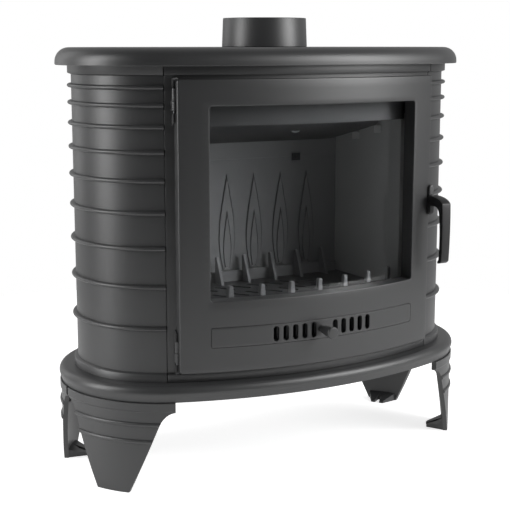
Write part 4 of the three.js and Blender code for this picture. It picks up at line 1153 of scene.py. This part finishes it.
CORNERS = ("upper_left", "upper_right", "lower_left", "lower_right")
KEPT = [  # material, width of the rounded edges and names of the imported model's own pieces
    (IRON, 0.9, ["back_plate"]),
    (SOOTED, 0.8, ["hearth_plate"]),
    # the liners take the pale colour that is painted light
    (LINER_PAINTED_LIGHT, 1.2, ["liner_left", "liner_right"]),
    (FIRED, 0.8, ["fireback_upper"]),
    (FIRED, 0.7, ["rear_guard"]),
    (STEEL, 0.3, ["keeper_roller", "handle_spindle", "spindle_nut"]),
    (DARK_STEEL, 0.5, ["fireback_clip_left", "fireback_clip_right"]),
    (DARK_STEEL, 0.4, ["ash_pan", "latch_tongue", *(f"leg_bolt_{leg}" for leg in LEG_TURNS)]),
    (DARK_STEEL, 0.3, ["latch_keeper", "slider_rail_upper", "slider_rail_lower",
                       *(f"glass_clip_{corner}" for corner in CORNERS)]),
    (DARK_STEEL, 0.2, ["air_slider", *(f"tie_rod_{leg}" for leg in LEG_TURNS)]),
]
for kept_material, kept_edge, kept_names in KEPT:
    for kept_name in kept_names:
        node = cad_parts[kept_name]
        node.data.materials.clear()
        node.data.materials.append(kept_material)
        soften(node, kept_edge, angle=30)

# ------------------------------------------------------------------ floor and light


def seen_through(tree, path):
    """Rays that have only passed through glass on their way from the camera."""
    bounces = math_node(tree, "ADD", path.outputs["Diffuse Depth"],
                        path.outputs["Glossy Depth"])
    first = math_node(tree, "SUBTRACT", 1.0, bounces, clamp=True)
    return math_node(tree, "MULTIPLY", path.outputs["Is Transmission Ray"], first)


def floor():
    """A round white floor. It fades into the background, but keeps the stove's shadow."""
    casting = Casting()
    casting.mesh.faces.new([casting.mesh.verts.new((x, y, 0)) for x, y in circle(1.5, 96)])
    material, tree, shader = new_material("pale_floor")
    put(shader, Base_Color=(0.82, 0.82, 0.82, 1), Roughness=0.9, Specular_IOR_Level=0.1)
    glow = tree.nodes.new("ShaderNodeEmission")
    path = tree.nodes.new("ShaderNodeLightPath")
    mirrored = math_node(tree, "MULTIPLY", path.outputs["Is Glossy Ray"], MIRRORED)
    seen = math_node(tree, "MAXIMUM", path.outputs["Is Camera Ray"], mirrored)
    seen = math_node(tree, "MAXIMUM", seen, seen_through(tree, path))
    link(tree, math_node(tree, "MULTIPLY", seen, GLOW), glow.inputs["Strength"])
    both = tree.nodes.new("ShaderNodeAddShader")
    link(tree, shader.outputs[0], both.inputs[0])
    link(tree, glow.outputs[0], both.inputs[1])
    link(tree, both.outputs[0], tree.nodes["Material Output"].inputs["Surface"])
    casting.build("floor", material)


def surroundings():
    """White to the camera. For other rays the front left is dim and the back bright."""
    world = bpy.data.worlds.new("studio")
    bpy.context.scene.world = world
    world.use_nodes = True
    tree = world.node_tree
    back = tree.nodes["Background"]
    path = tree.nodes.new("ShaderNodeLightPath")
    seen = math_node(tree, "MAXIMUM", path.outputs["Is Camera Ray"],
                     seen_through(tree, path))
    place = tree.nodes.new("ShaderNodeTexCoord")
    facing = tree.nodes.new("ShaderNodeVectorMath")
    facing.operation = "DOT_PRODUCT"
    link(tree, place.outputs["Generated"], facing.inputs[0])
    facing.inputs[1].default_value = WORLD_BRIGHT_SIDE
    ramp = tree.nodes.new("ShaderNodeMapRange")
    ramp.interpolation_type = "SMOOTHSTEP"
    link(tree, facing.outputs["Value"], ramp.inputs["Value"])
    put(ramp, From_Min=WORLD_FROM, From_Max=WORLD_TO, To_Min=WORLD_FRONT, To_Max=WORLD_BACK)
    strength = math_node(tree, "MAXIMUM", seen, ramp.outputs["Result"])
    link(tree, strength, back.inputs["Strength"])
    put(back, Color=(1, 1, 1, 1))


def soft_light(name, place, width, height, power):
    data = bpy.data.lights.new(name, "AREA")
    data.shape = "RECTANGLE"
    data.size = width
    data.size_y = height
    data.energy = power
    light = bpy.data.objects.new(name, data)
    light.location = place
    aim = Vector(LAMP_AIM) - Vector(place)
    light.rotation_euler = aim.to_track_quat("-Z", "Y").to_euler()
    bpy.context.collection.objects.link(light)


def camera():
    """Stands where the photograph was taken."""
    data = bpy.data.cameras.new("view")
    data.lens, data.sensor_width = LENS, SENSOR
    seat = bpy.data.objects.new("view", data)
    seat.location = CAMERA_PLACE
    seat.rotation_euler = (radians(90 - CAMERA_DOWN), 0, radians(-CAMERA_ROUND))
    bpy.context.collection.objects.link(seat)
    bpy.context.scene.camera = seat


LENS, SENSOR = 83.67, 36
CAMERA_PLACE = (-1.04807, -1.85158 + SHIFT / 1000, TOP_FACE / 1000 + 0.00552)
CAMERA_DOWN, CAMERA_ROUND = 10.1019, 29.0655  # degrees
GLOW = 0.75  # floor's own white, for the camera
MIRRORED = 0.6  # share of it that mirrored rays see
WORLD_BRIGHT_SIDE = (0.5, 0.866, 0)
WORLD_FROM, WORLD_TO = -0.3, 0.8
WORLD_FRONT, WORLD_BACK = 0.05, 0.5
LAMP_AIM = (0, 0, 0.45)
LAMPS = [  # name, place, width, height, power
    ("left_box", (-2.56, 0.45, 1.2), 0.9, 2.3, 51),
    ("back_left_box", (-1.3, 2.25, 1.2), 0.8, 2.3, 8),
    ("front_box", (1.36, -2.21, 1.5), 1.0, 2.0, 26),
    ("right_box", (1.92, -1.75, 1.5), 0.9, 2.0, 46),
]
floor()
surroundings()
for lamp in LAMPS:
    soft_light(*lamp)
camera()
bpy.context.scene.view_settings.view_transform = "Standard"
